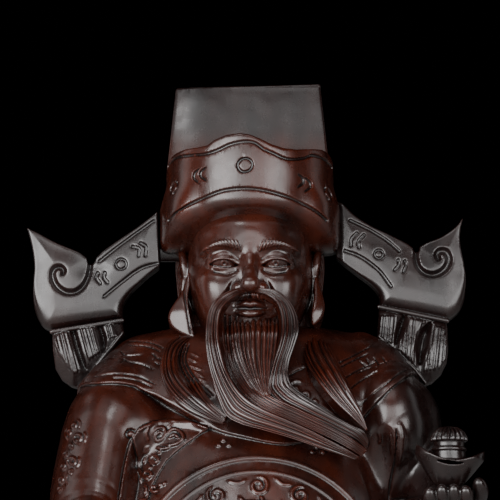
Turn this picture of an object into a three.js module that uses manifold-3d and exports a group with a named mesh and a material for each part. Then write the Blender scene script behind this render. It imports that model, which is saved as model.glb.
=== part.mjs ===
// Standing caishen figure carved from one block of dark hardwood, with its low oval base.
// Millimetres, +Z up. The figure faces -Y, its left hand (with the ingot) is on +X.
// Origin: middle of the flat underside.
import * as THREE from 'three';
import { mergeVertices } from 'three/addons/utils/BufferGeometryUtils.js';
import Module from 'manifold-3d';

const wasm = await Module();
wasm.setup();

// ---------------------------------------------------------------- driving dimensions
const HEIGHT = 400;                                        // underside to the top of the crown block
const BASE = { rx: 90, ry: 68, cy: -5, h: 20 };            // low oval base
const CAP = { halfWidth: 39.5, front: -40, back: 48, bandTop: 364, brimFront: 331, flare: 3.6 };
const CROWN = { foot: 39.2, top: 35, x0: -0.9, y0: 2, lean: 14, y1: 42, z0: 350 };
const HEAD = { cx: 0, cy: 4, cz: 303, rx: 30, ry: 38, rz: 41 };
const WING = { front: -5, thick: 14 };
const ROUNDEL = { x: 3.7, z: 155, r: 57, ridge: 2 };
const INGOT = { x: 90.3, y: -54, z: 210, half: 15.8, depth: 11.5, dome: 7.9, tilt: 0.1 };
const BELT = { z: 132, half: 6, proud: 2.2 };
const JOIN = 0.05;                                         // edges shorter than this close up where pieces join

// robe from hem to throat: height, half width, front y, back y
const ROBE = [
  [18, 68, -48, 42], [30, 73, -55, 46], [60, 67, -54, 42], [95, 67, -60, 41], [120, 68.5, -67, 41.5], [145, 69.5, -71.5, 42],
  [165, 69, -71.5, 42.5], [182, 68, -69, 43], [198, 64, -61.5, 43], [210, 62, -54, 43], [222, 60, -46.5, 42.5], [235, 57, -38, 42],
  [255, 50, -24, 39], [276, 37, -11, 26]];
// shoulder cape by height: half width, front y, back y
const CAPE = [
  [222, 66, -44, 42], [232, 73.5, -43.5, 44], [242, 78, -42, 45], [255, 76, -34.5, 43], [265, 70.5, -27.5, 39], [273, 62, -19.5, 32],
  [277, 50, -12.5, 26], [279.5, 38, -8, 22], [281, 24, -4, 16]];
// lower edge of the cape in front: place across, height
const CAPE_EDGE = [[-85, 251], [-61, 248], [-37, 238.6], [-21, 229], [-5, 223], [15, 219], [30, 222], [48, 230], [65, 246], [85, 260]];

// ---------------------------------------------------------------- helpers
const clamp = (v, a, b) => Math.min(b, Math.max(a, v));
const smooth = (a, b, v) => { const t = clamp((v - a) / (b - a), 0, 1); return t * t * (3 - 2 * t); };
const spow = (v, p) => (Math.abs(v) < 1e-6 ? 0 : Math.sign(v) * Math.abs(v) ** p);

// smooth curve through the rows of a table, read at the value x of its first column
function read(rows, x) {
  const n = rows.length;
  if (x <= rows[0][0]) return rows[0].slice(1);
  if (x >= rows[n - 1][0]) return rows[n - 1].slice(1);
  let i = 0;
  while (rows[i + 1][0] < x) i += 1;
  const a = rows[Math.max(i - 1, 0)], b = rows[i], c = rows[i + 1], d = rows[Math.min(i + 2, n - 1)];
  const h = c[0] - b[0], t = (x - b[0]) / h;
  return b.slice(1).map((v, k) => {
    const j = k + 1;
    const m0 = (c[j] - a[j]) / (c[0] - a[0] || 1) * h, m1 = (d[j] - b[j]) / (d[0] - b[0] || 1) * h;
    const t2 = t * t, t3 = t2 * t;
    return (2 * t3 - 3 * t2 + 1) * v + (t3 - 2 * t2 + t) * m0 + (3 * t2 - 2 * t3) * c[j] + (t3 - t2) * m1;
  });
}

function solid(geometry) {
  const g = geometry.clone();
  for (const name of Object.keys(g.attributes)) if (name !== 'position') g.deleteAttribute(name);
  const m = mergeVertices(g, 1e-4);
  const p = m.attributes.position, q = m.index.array, v = [0, 1, 2].map(() => new THREE.Vector3());
  let volume = 0;
  for (let i = 0; i < q.length; i += 3) {
    v.forEach((c, k) => c.fromBufferAttribute(p, q[i + k]));
    volume += v[0].dot(v[1].clone().cross(v[2]));
  }
  if (volume < 0) for (let i = 0; i < q.length; i += 3) [q[i], q[i + 1]] = [q[i + 1], q[i]];   // mirrored piece
  return new wasm.Manifold(new wasm.Mesh({
    numProp: 3,
    tolerance: JOIN,
    vertProperties: new Float32Array(m.attributes.position.array),
    triVerts: new Uint32Array(m.index.array)
  }));
}

// moves every vertex of a geometry by a function of its place
function warp(geometry, fn) {
  const p = geometry.attributes.position, v = new THREE.Vector3();
  for (let i = 0; i < p.count; i += 1) {
    v.fromBufferAttribute(p, i);
    const q = fn(v.x, v.y, v.z);
    p.setXYZ(i, q[0], q[1], q[2]);
  }
  return geometry;
}

// a closed round bar of unit size along Z, each point placed by its height t, angle a and radius r
function loft(around, steps, place) {
  const g = new THREE.CylinderGeometry(1, 1, 1, around, steps, false).rotateX(Math.PI / 2);
  return solid(warp(g, (x, y, z) => place(z + 0.5, Math.atan2(y, x), Math.min(1, Math.hypot(x, y)))));
}

// a closed ball of unit size, each point placed by its direction
function ball(around, rings, place) {
  return solid(warp(new THREE.SphereGeometry(1, around, rings).rotateX(Math.PI / 2), place));
}

// a bar along a smooth path; facing = the side that the second half-size points to
function sweep(points, sizes, facing, around, steps, flute = () => 1) {
  const curve = new THREE.CatmullRomCurve3(points.map((p) => new THREE.Vector3(...p)), false, 'centripetal');
  const rows = sizes.map((s, i) => [i / (sizes.length - 1), ...s]);
  const out = new THREE.Vector3(...facing);
  return loft(around, steps, (t, a, r) => {
    const c = curve.getPoint(clamp(t, 0, 1)), T = curve.getTangent(clamp(t, 0, 1));
    const B = out.clone().addScaledVector(T, -out.dot(T)).normalize();
    const A = new THREE.Vector3().crossVectors(B, T);
    const [sa, sb] = read(rows, t), f = flute(t, a);
    c.addScaledVector(A, r * sa * f * Math.cos(a)).addScaledVector(B, r * sb * f * Math.sin(a));
    return [c.x, c.y, c.z];
  });
}

// a plate in the XZ plane from an outline, between two depths
function plate(outline, front, thick, bevel = 1.2) {
  const shape = new THREE.Shape(outline.map((p) => new THREE.Vector2(...p)));
  const g = new THREE.ExtrudeGeometry(shape, {
    depth: thick - 2 * bevel, bevelEnabled: true, bevelThickness: bevel, bevelSize: bevel,
    bevelOffset: -bevel, bevelSegments: 1, steps: 1
  });
  g.rotateX(Math.PI / 2).translate(0, front + thick - bevel, 0);
  return solid(g);
}

// ---------------------------------------------------------------- base
const profile = [
  [0, 0], [1, 0], [1, 5], [0.955, 8.5], [0.955, 12], [0.985, 14.5], [0.98, 18], [0.96, BASE.h], [0, BASE.h]
].map((p) => new THREE.Vector2(...p));
const base = solid(new THREE.LatheGeometry(profile, 34).rotateX(Math.PI / 2)
  .scale(BASE.rx, BASE.ry, 1).translate(0, BASE.cy, 0));

// ---------------------------------------------------------------- robe
// folds of the skirt: deeper towards the hem, none on the round belly panel
function fold(x, y, z, a) {
  const back = smooth(-0.2, 0.5, Math.sin(a)), side = smooth(0.35, 0.8, Math.abs(Math.cos(a)));
  const skirt = smooth(110, 40, z) * (0.35 + 0.65 * Math.max(back, side));
  const long = smooth(245, 150, z) * back;
  return 2.3 * skirt * Math.cos(11 * a + 0.6 * Math.sin(2 * a)) + 1.5 * long * Math.cos(7 * a + 1.1);
}
const robe = loft(40, 12, (t, a, r) => {
  const z = ROBE[0][0] + (ROBE.at(-1)[0] - ROBE[0][0]) * t;
  const [w, f, b] = read(ROBE, z);
  const x = w * spow(Math.cos(a), 0.86), y = (f + b) / 2 + (b - f) / 2 * spow(Math.sin(a), 0.9);
  const k = 1 + fold(x, y, z, a) / 60;
  return [r * x * k, (f + b) / 2 + r * (y - (f + b) / 2) * k, z];
});
const cape = loft(32, 4, (t, a, r) => {
  const front = smooth(0.15, -0.15, Math.sin(a));
  const edge = 243 * (1 - front) + read(CAPE_EDGE, 76 * Math.cos(a))[0] * front;
  const low = 241 + r * (edge - 241), z = low + (CAPE.at(-1)[0] - low) * clamp(t, 0, 1) ** 0.85;
  const [w, f, b] = read(CAPE, z);
  return [r * w * spow(Math.cos(a), 0.86), (f + b) / 2 + r * (b - f) / 2 * spow(Math.sin(a), 0.9), z];
});
const frontOf = (x, z) => {
  const [w, f, b] = read(ROBE, z);
  return (f + b) / 2 - (b - f) / 2 * (1 - Math.min(1, Math.abs(x / w)) ** (2 / 0.86)) ** 0.45;
};

// raised rim of the round panel on the belly
const rim = [];
for (let i = 0; i < 26; i += 1) {
  const q = i / 26 * 2 * Math.PI, x = ROUNDEL.x + ROUNDEL.r * Math.sin(q), z = ROUNDEL.z + ROUNDEL.r * Math.cos(q);
  rim.push(new THREE.Vector3(x, frontOf(x, z), z));
}
const rimCurve = new THREE.CatmullRomCurve3(rim, true);
const rimSection = new THREE.Shape();
rimSection.absellipse(0, 0, ROUNDEL.ridge, ROUNDEL.ridge, 0, 2 * Math.PI);
const ridge = solid(new THREE.ExtrudeGeometry(rimSection, { steps: 26, curveSegments: 3, extrudePath: rimCurve, bevelEnabled: false }));

// belt round the sides and back
const belt = loft(32, 2, (t, a, r) => {
  const z = BELT.z + BELT.half * (2 * t - 1), [w, f, b] = read(ROBE, z);
  const edge = Math.sin(Math.PI * clamp(t, 0.08, 0.92)) ** 0.5, hide = smooth(-0.75, -0.45, Math.sin(a));
  const k = 1 + (BELT.proud * edge * hide + 2.6 * smooth(0, 0.6, Math.sin(a)) - 3 * (1 - hide)) / 60;
  return [r * w * k * spow(Math.cos(a), 0.86), (f + b) / 2 + r * k * (b - f) / 2 * spow(Math.sin(a), 0.9), z];
});

// cloth shoes under the hem: thick sole, rounded upper, turned-up tip
const boot = (s) => {
  const sole = loft(12, 1, (t, a, r) => [s * 27 + 12.5 * r * Math.cos(a), -45 + 26.5 * r * Math.sin(a), 18.1 + 6.8 * t]);
  const upper = ball(10, 5, (x, y, z) => [s * 27 + 11.6 * x, -44 + 25 * y, 26 + (z > 0 ? 12 : 5) * z]);
  const tip = sweep([[s * 27, -56, 28], [s * 27, -66, 31.5], [s * 27, -69.5, 37], [s * 27, -67, 41]], [[7, 7], [5.4, 5.4], [3.4, 3.4], [1.8, 1.8]],
    [1, 0, 0], 6, 3);
  return sole.add(upper).add(tip);
};

// ---------------------------------------------------------------- arms
const crease = (n, m, k) => (t, a) => 1 + k * Math.cos(n * a + m * t) * smooth(0.1, 0.4, t);
const armR = sweep([[-52, 3, 256], [-62, -6, 243], [-71, -19, 227], [-74, -26, 210], [-75.5, -31, 195], [-75.5, -41, 181], [-73.5, -58, 172]],
  [[20, 12], [25, 14], [27, 15.6], [27, 17], [26.5, 17.5], [22, 16.5], [17.5, 15]], [-1, 0, 0], 14, 10, crease(3, 9, 0.02));
const armL = sweep([[52, 3, 258], [61, -4, 249], [70, -16, 237], [76, -14, 224], [80, -15, 211], [87, -24, 197], [90, -42, 188]],
  [[20, 12], [23, 14.5], [27.5, 17], [23, 15], [18.5, 14.5], [17, 15], [15, 15]], [1, 0, 0], 14, 9, crease(3, -8, 0.02));
const drape = sweep([[63, -24, 224], [63, -18, 207], [64, -8, 190]], [[11, 11.5], [11.5, 12], [11, 11.5]], [1, 0, 0], 8, 2);
const breast = ball(10, 5, (x, y, z) => [-53 + 18 * x, -26 + 14 * y, 229 + 14 * z]);
// the wide sleeve ends hang from the wrists, open to the front
const sleeveEnd = (s, cx, front, back, half, z0, z1) => loft(16, 5, (t, a, r) => {
  const f = front + 9 * (1 - t) ** 1.5, b = back - 22 * (1 - t) ** 1.3 - 17 * smooth(0.66, 1, t);
  const w = half * (0.7 + 0.3 * smooth(0, 0.45, t)), wave = 1 + 0.07 * Math.cos(5 * a + 1.3) * smooth(0.9, 0.2, t);
  return [s * (cx - 3 * (1 - t) + r * w * wave * Math.cos(a)), (f + b) / 2 + r * (b - f) / 2 * spow(Math.sin(a), 0.72),
    z0 + (z1 - z0) * t + 9 * (1 - t) * r * Math.sin(a)];
});
const endR = sleeveEnd(-1, 76, -55, 12, 16.5, 110, 184);
const endL = sleeveEnd(1, 87.5, -45, 14, 17, 106, 191);
const openR = ball(14, 8, (x, y, z) => [-75 + 11.5 * x, -60 + 8 * y, 160 + 27 * z]);
const openL = ball(14, 8, (x, y, z) => [88 + 11 * x, -47 + 8 * y, 155 + 24 * z]);
// closed right hand in its cuff
const fist = sweep([[-75, -44, 176], [-73, -58, 172], [-70, -70, 168]], [[7, 8], [11, 10], [9, 8]], [-1, 0, 0], 8, 4);
// left hand under the ingot
const palm = ball(10, 5, (x, y, z) => [INGOT.x + 0.5 + 13.5 * x, INGOT.y + 7 + 15 * y, INGOT.z - 17 + (z > 0 ? 8 : 11) * z]);
const cup = sweep([[99, -45, 192], [103, -50.5, 193.5], [104, -57, 197], [103, -60.5, 200]], [[4.4, 4.2], [4, 3.8], [3.4, 3.2], [2.2, 2.1]], [1, 0, 0], 6, 3);

// boat-shaped ingot with a horned rim, tilted a little; ribbed round dome on a ringed neck
const tilted = (x, y, z) => [INGOT.x + x + INGOT.tilt * z, INGOT.y + y, INGOT.z + z - INGOT.tilt * x];
const boat = loft(16, 3, (t, a, r) => {
  const grow = 0.42 + 0.58 * clamp(t, 0, 1) ** 0.7, horn = Math.abs(Math.cos(a)) ** 2.2;
  return tilted(r * INGOT.half * grow * Math.cos(a), r * INGOT.depth * grow * Math.sin(a), -12 + 12.4 * t + 6 * r * r * t * horn);
});
const domeProfile = [[0, -2], [0.91, -2], [0.91, 4.6], [1, 5], [1, 6.2], [0.91, 6.6], [0.91, 9.8], [1, 10.3], [0.9, 13.1], [0.55, 15.7], [0, 16.7]]
  .map(([r, z]) => new THREE.Vector2(r * INGOT.dome, z));
const dome = solid(new THREE.LatheGeometry(domeProfile, 10).rotateX(Math.PI / 2).translate(INGOT.x, INGOT.y, INGOT.z));

// ---------------------------------------------------------------- head
const head = ball(16, 10, (x, y, z) => {
  const front = smooth(0.1, 0.9, -y), jaw = smooth(0.1, -0.9, z);
  const px = HEAD.rx * x * (1 - 0.16 * jaw);
  const pz = HEAD.cz + HEAD.rz * z;
  let py = HEAD.cy + HEAD.ry * y * (1 - 0.04 * jaw);
  const near = (cx, cz, sx, sz) => Math.exp(-(((px - cx) / sx) ** 2) - (((pz - cz) / sz) ** 2));
  py -= front * (9 * near(0, 295, 5, 6) + 4 * near(0, 303, 4, 8) + 2.5 * near(0, 314, 24, 4)
    + 2 * (near(15, 294, 8, 7) + near(-15, 294, 8, 7)) + 3.5 * near(0, 272, 12, 6));
  py += front * 2.5 * (near(13, 307, 6, 4) + near(-13, 307, 6, 4));
  return [px, py, pz];
});
const ear = (s) => ball(8, 5, (x, y, z) => [s * (29 + 4.6 * x), 1 + 7.5 * y, 298 + (z > 0 ? 13 : 19) * z]);

// beard over the breast, and the two locks from behind the ears
const hair = (n, k) => (t, a) => 1 + k * Math.cos(n * a) * smooth(-0.4, 0.1, Math.sin(a));
const FRONT = [0, -1, 0.25];
const beard = sweep([[0, -30, 284], [0, -36, 268], [2, -42, 252], [6, -49, 239], [9, -53, 231]],
  [[15, 9], [16, 9.5], [15, 10], [10.5, 9], [3, 4]], FRONT, 16, 5, hair(8, 0.05));
const beardR = sweep([[-15, -34, 284], [-19, -39, 267], [-18, -46, 250], [-11, -53, 237], [5, -57, 228], [30, -57, 221], [57, -52, 214]],
  [[3.5, 4], [4.6, 6], [5.4, 7], [6.4, 7.5], [7.2, 7.5], [6.5, 6.5], [2, 2.5]], FRONT, 10, 9, hair(5, 0.06));
const beardL = sweep([[15, -34, 284], [19, -39, 267], [18, -46, 251], [23, -53, 240], [37, -55, 231], [57, -50, 221]],
  [[3.5, 4], [4.6, 6], [5.4, 7], [5.8, 7], [5.6, 6], [2, 2.5]], FRONT, 10, 7, hair(5, 0.06));
const lockR = sweep([[-32, -8, 276], [-41, -20, 260], [-39.5, -33, 244], [-28, -44, 233], [-14, -53, 226]],
  [[3, 3], [3.8, 4.4], [3.8, 5], [3.8, 5], [2, 3]], FRONT, 8, 7, hair(4, 0.06));
const lockL = sweep([[32, -8, 277], [32, -22, 262], [41, -36, 241], [53, -44, 226]],
  [[3, 3], [7.4, 5], [7, 5.5], [2.2, 3]], FRONT, 12, 6, hair(5, 0.07));

// ---------------------------------------------------------------- cap
// lower edge of the cap: arched over the brow, dropping to the back
const brimZ = (y) => CAP.brimFront - 15.5 * smooth(CAP.front, 0, y) + 5 * smooth(0, CAP.back, y);
const capMid = (CAP.front + CAP.back) / 2, capHalf = (CAP.back - CAP.front) / 2;
const band = loft(28, 4, (t, a, r) => {
  const swell = 1 - 0.05 * smooth(0.86, 1, t) - 0.02 * smooth(0.2, 0, t);
  const rear = Math.sin(a) > 0, side = CAP.flare * smooth(0.45, 0.05, t) * smooth(0.55, 0.9, Math.abs(Math.cos(a)));
  const x = (CAP.halfWidth + side) * spow(Math.cos(a), rear ? 0.75 : 0.95) * swell;
  const y = capMid + capHalf * spow(Math.sin(a), rear ? 0.75 : 1) * swell;
  const wave = 3 * r * smooth(12, 0, Math.abs(x)) * smooth(0, -0.6, Math.sin(a));
  const low = brimZ(y), top = CAP.bandTop - 1 + wave;
  return [r * x, capMid + r * (y - capMid), low + (top - low) * t];
});
const crown = loft(4 * 4, 3, (t, a, r) => {
  const z = CROWN.z0 + (HEIGHT - CROWN.z0) * t, w = CROWN.foot + (CROWN.top - CROWN.foot) * t;
  const f = CROWN.y0 + CROWN.lean * t - 2.5 * Math.sin(Math.PI * t), b = CROWN.y1 - 2 * t;
  const q = (v) => spow(v, 0.22);
  return [CROWN.x0 + r * w * q(Math.cos(a)), (f + b) / 2 + r * (b - f) / 2 * q(Math.sin(a)), z];
});
// neck cloth of the cap, behind the ears, with two petal-shaped ends on the collar
const guard = loft(20, 4, (t, a, r) => {
  const z = 271 + 64 * t;
  const w = read([[268, 36.5], [273, 36.5], [278, 35], [284, 33], [292, 31.8], [304, 31.6], [316, 31.6], [326, 33], [338, 36]], z)[0];
  const f = -6 + 5 * smooth(0, 0.45, t), b = 43.5 + 2.5 * t;
  return [r * w * spow(Math.cos(a), 0.8), (f + b) / 2 + r * (b - f) / 2 * spow(Math.sin(a), 0.7), z];
});
const petalR = plate([[-29.2, 305], [-31.5, 298], [-35, 292.5], [-38, 286.5], [-38.4, 281], [-36, 276.5], [-31, 273.3], [-26, 271.5],
  [-27, 277], [-28.6, 284], [-29.2, 292]].reverse(), -15.5, 20, 1);
const petalL = plate([[31.6, 303], [33.5, 297], [35.2, 291], [35.6, 286], [34.6, 281.5], [32.2, 278.6], [29.6, 277.2], [29, 282],
  [30, 288], [30.6, 295]], -15.5, 20, 1);

// ---------------------------------------------------------------- cap wings and their tassels
function spline(points, count) {
  const c = new THREE.SplineCurve(points.map((p) => new THREE.Vector2(...p)));
  return c.getPoints(count).map((p) => [p.x, p.y]);
}
// outline of a wing: bar from the cap, notch, fish-tail tip, round belly, foot over the tassel
const wingOutline = (w) => [
  ...spline([w.rootTop, w.barTop, w.notch], 2), ...spline([w.notch, w.tailMid, w.tip], 3).slice(1),
  ...spline([w.tip, w.outer, w.outerLow, w.foot], 6).slice(1), w.footIn, ...spline([w.heel, w.barLow, w.rootLow], 3)];
const RIGHT = {
  rootTop: [-43.5, 335.5], barTop: [-58, 325.5], notch: [-73.5, 314], tailMid: [-88, 317.5], tip: [-105.7, 328],
  outer: [-103.2, 312], outerLow: [-103.8, 296], foot: [-94.5, 281.5], footIn: [-62.5, 284.5],
  heel: [-62.5, 294], barLow: [-58, 300.5], rootLow: [-43.5, 309.5],
  eye: [[-74.5, 311], [-77.5, 302.5], [-83.5, 296.5], [-91, 297.5], [-94, 304], [-90.5, 309.5], [-87.5, 307]]
};
const LEFT = {
  rootTop: [43.5, 341.5], barTop: [60, 330], notch: [77, 319], tailMid: [90, 322], tip: [102, 332],
  outer: [100.6, 318], outerLow: [102, 296], foot: [94, 284.5], footIn: [62, 290],
  heel: [62, 302], barLow: [56, 308.5], rootLow: [43.5, 316.5],
  eye: [[78.5, 316], [80.5, 306.5], [87, 299], [95, 301.5], [97.5, 309.5], [92.5, 315], [89.5, 311.5]]
};
function wing(w, s) {
  const outline = wingOutline(w);
  const body = plate(s < 0 ? outline : outline.slice().reverse(), WING.front, WING.thick);
  const curve = new THREE.CatmullRomCurve3(w.eye.map((p) => new THREE.Vector3(p[0], WING.front - 0.4, p[1])));
  const cut = new THREE.Shape();
  cut.absellipse(0, 0, 1.6, 1.6, 0, 2 * Math.PI);
  const groove = solid(new THREE.ExtrudeGeometry(cut, { steps: 13, curveSegments: 3, extrudePath: curve, bevelEnabled: false }));
  const z = (w.rootTop[1] + w.rootLow[1]) / 2;
  const x0 = Math.min(s * 34, s * 47), x1 = Math.max(s * 34, s * 47);
  const root = plate([[x0, z - 10], [x1, z - 10], [x1, z + 10], [x0, z + 10]], 0, 9, 0.8);   // stem behind, into the cap
  return body.subtract(groove).add(root);
}
const tassel = (s, rows) => loft(20, 4, (t, a, r) => {
  const z = rows.at(-1)[0] + (rows[0][0] - rows.at(-1)[0]) * t;
  const [c, w, d] = read(rows.slice().reverse(), z);
  const flute = 1 + 0.05 * Math.cos(10 * a);
  return [s * (c + r * w * flute * Math.cos(a)), 1 + r * d * flute * spow(Math.sin(a), 0.7), z];
});
const tasselR = tassel(-1, [[284, 78, 15.5, 6], [277, 77.5, 16.6, 8.2], [264, 78.5, 15, 8.6], [254, 81, 10, 8], [247, 82, 4, 5]]);
const tasselL = tassel(1, [[291, 78, 15, 6], [282, 77.8, 16.5, 8.2], [268, 79, 15.3, 8.6], [257, 82, 10.5, 8], [249, 83.5, 4, 5]]);

// ---------------------------------------------------------------- one body
const pieces = { base, robe, cape, ridge, belt, bootR: boot(-1), bootL: boot(1), armR, armL, drape, breast, endR, endL,
  fist, palm, cup, boat, dome, head, earR: ear(-1), earL: ear(1), beard, beardR, beardL, lockR, lockL, band, crown, guard,
  petalR, petalL,
  wingR: wing(RIGHT, -1), wingL: wing(LEFT, 1), tasselR, tasselL };
const inCuffs = ['fist', 'palm', 'cup', 'boat', 'dome'];
let whole = null;
for (const [name, part] of Object.entries(pieces)) if (!inCuffs.includes(name)) whole = whole ? whole.add(part) : part;
whole = whole.subtract(openR).subtract(openL);
for (const name of inCuffs) whole = whole.add(pieces[name]);

const mesh = whole.getMesh();
const geometry = new THREE.BufferGeometry();
geometry.setAttribute('position', new THREE.BufferAttribute(new Float32Array(mesh.vertProperties), 3));
geometry.setIndex(new THREE.BufferAttribute(new Uint32Array(mesh.triVerts), 1));
geometry.computeVertexNormals();

const figure = new THREE.Mesh(geometry, new THREE.MeshStandardMaterial({ color: 0x3a1b14, roughness: 0.38, metalness: 0 }));
figure.name = 'caishen_figure';
const group = new THREE.Group();
group.add(figure);

export default group;
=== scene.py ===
import math
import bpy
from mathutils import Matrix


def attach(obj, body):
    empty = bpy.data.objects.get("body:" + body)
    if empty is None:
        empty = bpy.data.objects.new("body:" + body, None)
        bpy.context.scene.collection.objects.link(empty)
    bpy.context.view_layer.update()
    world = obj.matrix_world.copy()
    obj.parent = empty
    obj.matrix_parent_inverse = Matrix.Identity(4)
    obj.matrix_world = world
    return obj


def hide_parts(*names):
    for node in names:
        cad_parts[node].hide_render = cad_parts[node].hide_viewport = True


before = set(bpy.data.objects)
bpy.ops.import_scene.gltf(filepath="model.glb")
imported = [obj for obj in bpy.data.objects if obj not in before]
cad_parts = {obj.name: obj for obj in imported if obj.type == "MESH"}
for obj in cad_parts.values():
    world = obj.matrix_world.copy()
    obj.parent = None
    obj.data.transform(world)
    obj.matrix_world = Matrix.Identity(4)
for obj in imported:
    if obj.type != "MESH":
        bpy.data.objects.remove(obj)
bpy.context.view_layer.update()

from concurrent.futures import ThreadPoolExecutor

import bpy
import numpy as np
import openvdb
from mathutils import Vector
from mathutils.bvhtree import BVHTree

FINE = 1.0
F = np.float32
scene = bpy.context.scene

# ------------------------------------------------------------------ camera
# All shapes below are in millimetres, in the object's own frame: +Z up, the figure faces -Y.
TILT = math.radians(10)                 # the camera looks up at the figure
AIM = np.array([0.0, 0.0, 317.1])
DIST = 1500.0
WIDE = 238.0                            # width of the frame at the aim point
FWD = np.array([0.0, math.cos(TILT), math.sin(TILT)])
UP = np.array([0.0, -math.sin(TILT), math.cos(TILT)])
EYE = AIM - FWD * DIST

cam_data = bpy.data.cameras.new("camera")
cam_data.sensor_width = 36.0
cam_data.lens = 36.0 * DIST / WIDE
cam_data.clip_start = 0.05
cam_data.clip_end = 20.0
cam = bpy.data.objects.new("camera", cam_data)
cam.location = Vector(EYE / 1000.0)
cam.rotation_euler = (math.radians(90) + TILT, 0.0, 0.0)
scene.collection.objects.link(cam)
scene.camera = cam


def ray(px, py):
    d = FWD + np.array([1.0, 0, 0]) * ((px - 250) / 500 * WIDE / DIST) - UP * ((py - 250) / 500 * WIDE / DIST)
    return EYE, d / np.linalg.norm(d)


def at(px, py, y=0.0):
    """The point of the upright plane at depth y that the frame's point px, py shows."""
    o, d = ray(px, py)
    t = (y - o[1]) / d[1]
    return o + d * t


# ------------------------------------------------------------------ small tools
def ss(a, b, v):
    t = np.clip((v - a) / (b - a), 0, 1)
    return t * t * (3 - 2 * t)


def smin(a, b, k):
    if np.isscalar(k) and k <= 0:
        return np.minimum(a, b)
    h = np.clip(0.5 + 0.5 * (b - a) / k, 0, 1)
    return b + (a - b) * h - k * h * (1 - h)


def smax(a, b, k):
    return -smin(-a, -b, k)


def spline(points, n, closed=False):
    """A smooth (centripetal) curve through the points, as n points."""
    p = np.asarray(points, float)
    if closed:
        p = np.vstack([p[-1], p, p[0], p[1]])
    else:
        p = np.vstack([2 * p[0] - p[1], p, 2 * p[-1] - p[-2]])
    seg = len(p) - 3
    k = np.maximum(np.linalg.norm(np.diff(p, axis=0), axis=1), 1e-9) ** 0.5
    out = []
    for u in np.linspace(0, seg, n, endpoint=not closed):
        i = min(int(u), seg - 1)
        p0, p1, p2, p3 = p[i:i + 4]
        t0, t1 = 0.0, k[i]
        t2, t3 = t1 + k[i + 1], t1 + k[i + 1] + k[i + 2]
        t = t1 + (u - i) * (t2 - t1)
        a1 = (t1 - t) / (t1 - t0) * p0 + (t - t0) / (t1 - t0) * p1
        a2 = (t2 - t) / (t2 - t1) * p1 + (t - t1) / (t2 - t1) * p2
        a3 = (t3 - t) / (t3 - t2) * p2 + (t - t2) / (t3 - t2) * p3
        b1 = (t2 - t) / (t2 - t0) * a1 + (t - t0) / (t2 - t0) * a2
        b2 = (t3 - t) / (t3 - t1) * a2 + (t - t1) / (t3 - t1) * a3
        out.append((t2 - t) / (t2 - t1) * b1 + (t - t1) / (t2 - t1) * b2)
    return np.array(out)


def even(points, step):
    """The same path with points an even step apart."""
    p = np.asarray(points, float)
    s = np.concatenate([[0], np.cumsum(np.linalg.norm(np.diff(p, axis=0), axis=1))])
    n = max(2, int(s[-1] / step) + 1)
    u = np.linspace(0, s[-1], n)
    return np.stack([np.interp(u, s, p[:, k]) for k in range(p.shape[1])], 1)


def table(rows, v):
    """Smooth reading of the rows (first column the key) at the values v; one array for each other column."""
    r = np.asarray(rows, float)
    x = r[:, 0]
    v = np.clip(v, x[0], x[-1])
    i = np.clip(np.searchsorted(x, v, side="right") - 1, 0, len(x) - 2)
    m = np.zeros_like(r)
    for k in range(len(x)):
        a, b = max(k - 1, 0), min(k + 1, len(x) - 1)
        m[k] = (r[b] - r[a]) / (x[b] - x[a])
    h = x[i + 1] - x[i]
    t = (v - x[i]) / h
    t2, t3 = t * t, t * t * t
    res = []
    for c in range(1, r.shape[1]):
        res.append(((2 * t3 - 3 * t2 + 1) * r[i, c] + (t3 - 2 * t2 + t) * h * m[i, c]
                    + (3 * t2 - 2 * t3) * r[i + 1, c] + (t3 - t2) * h * m[i + 1, c]).astype(F))
    return res


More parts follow.
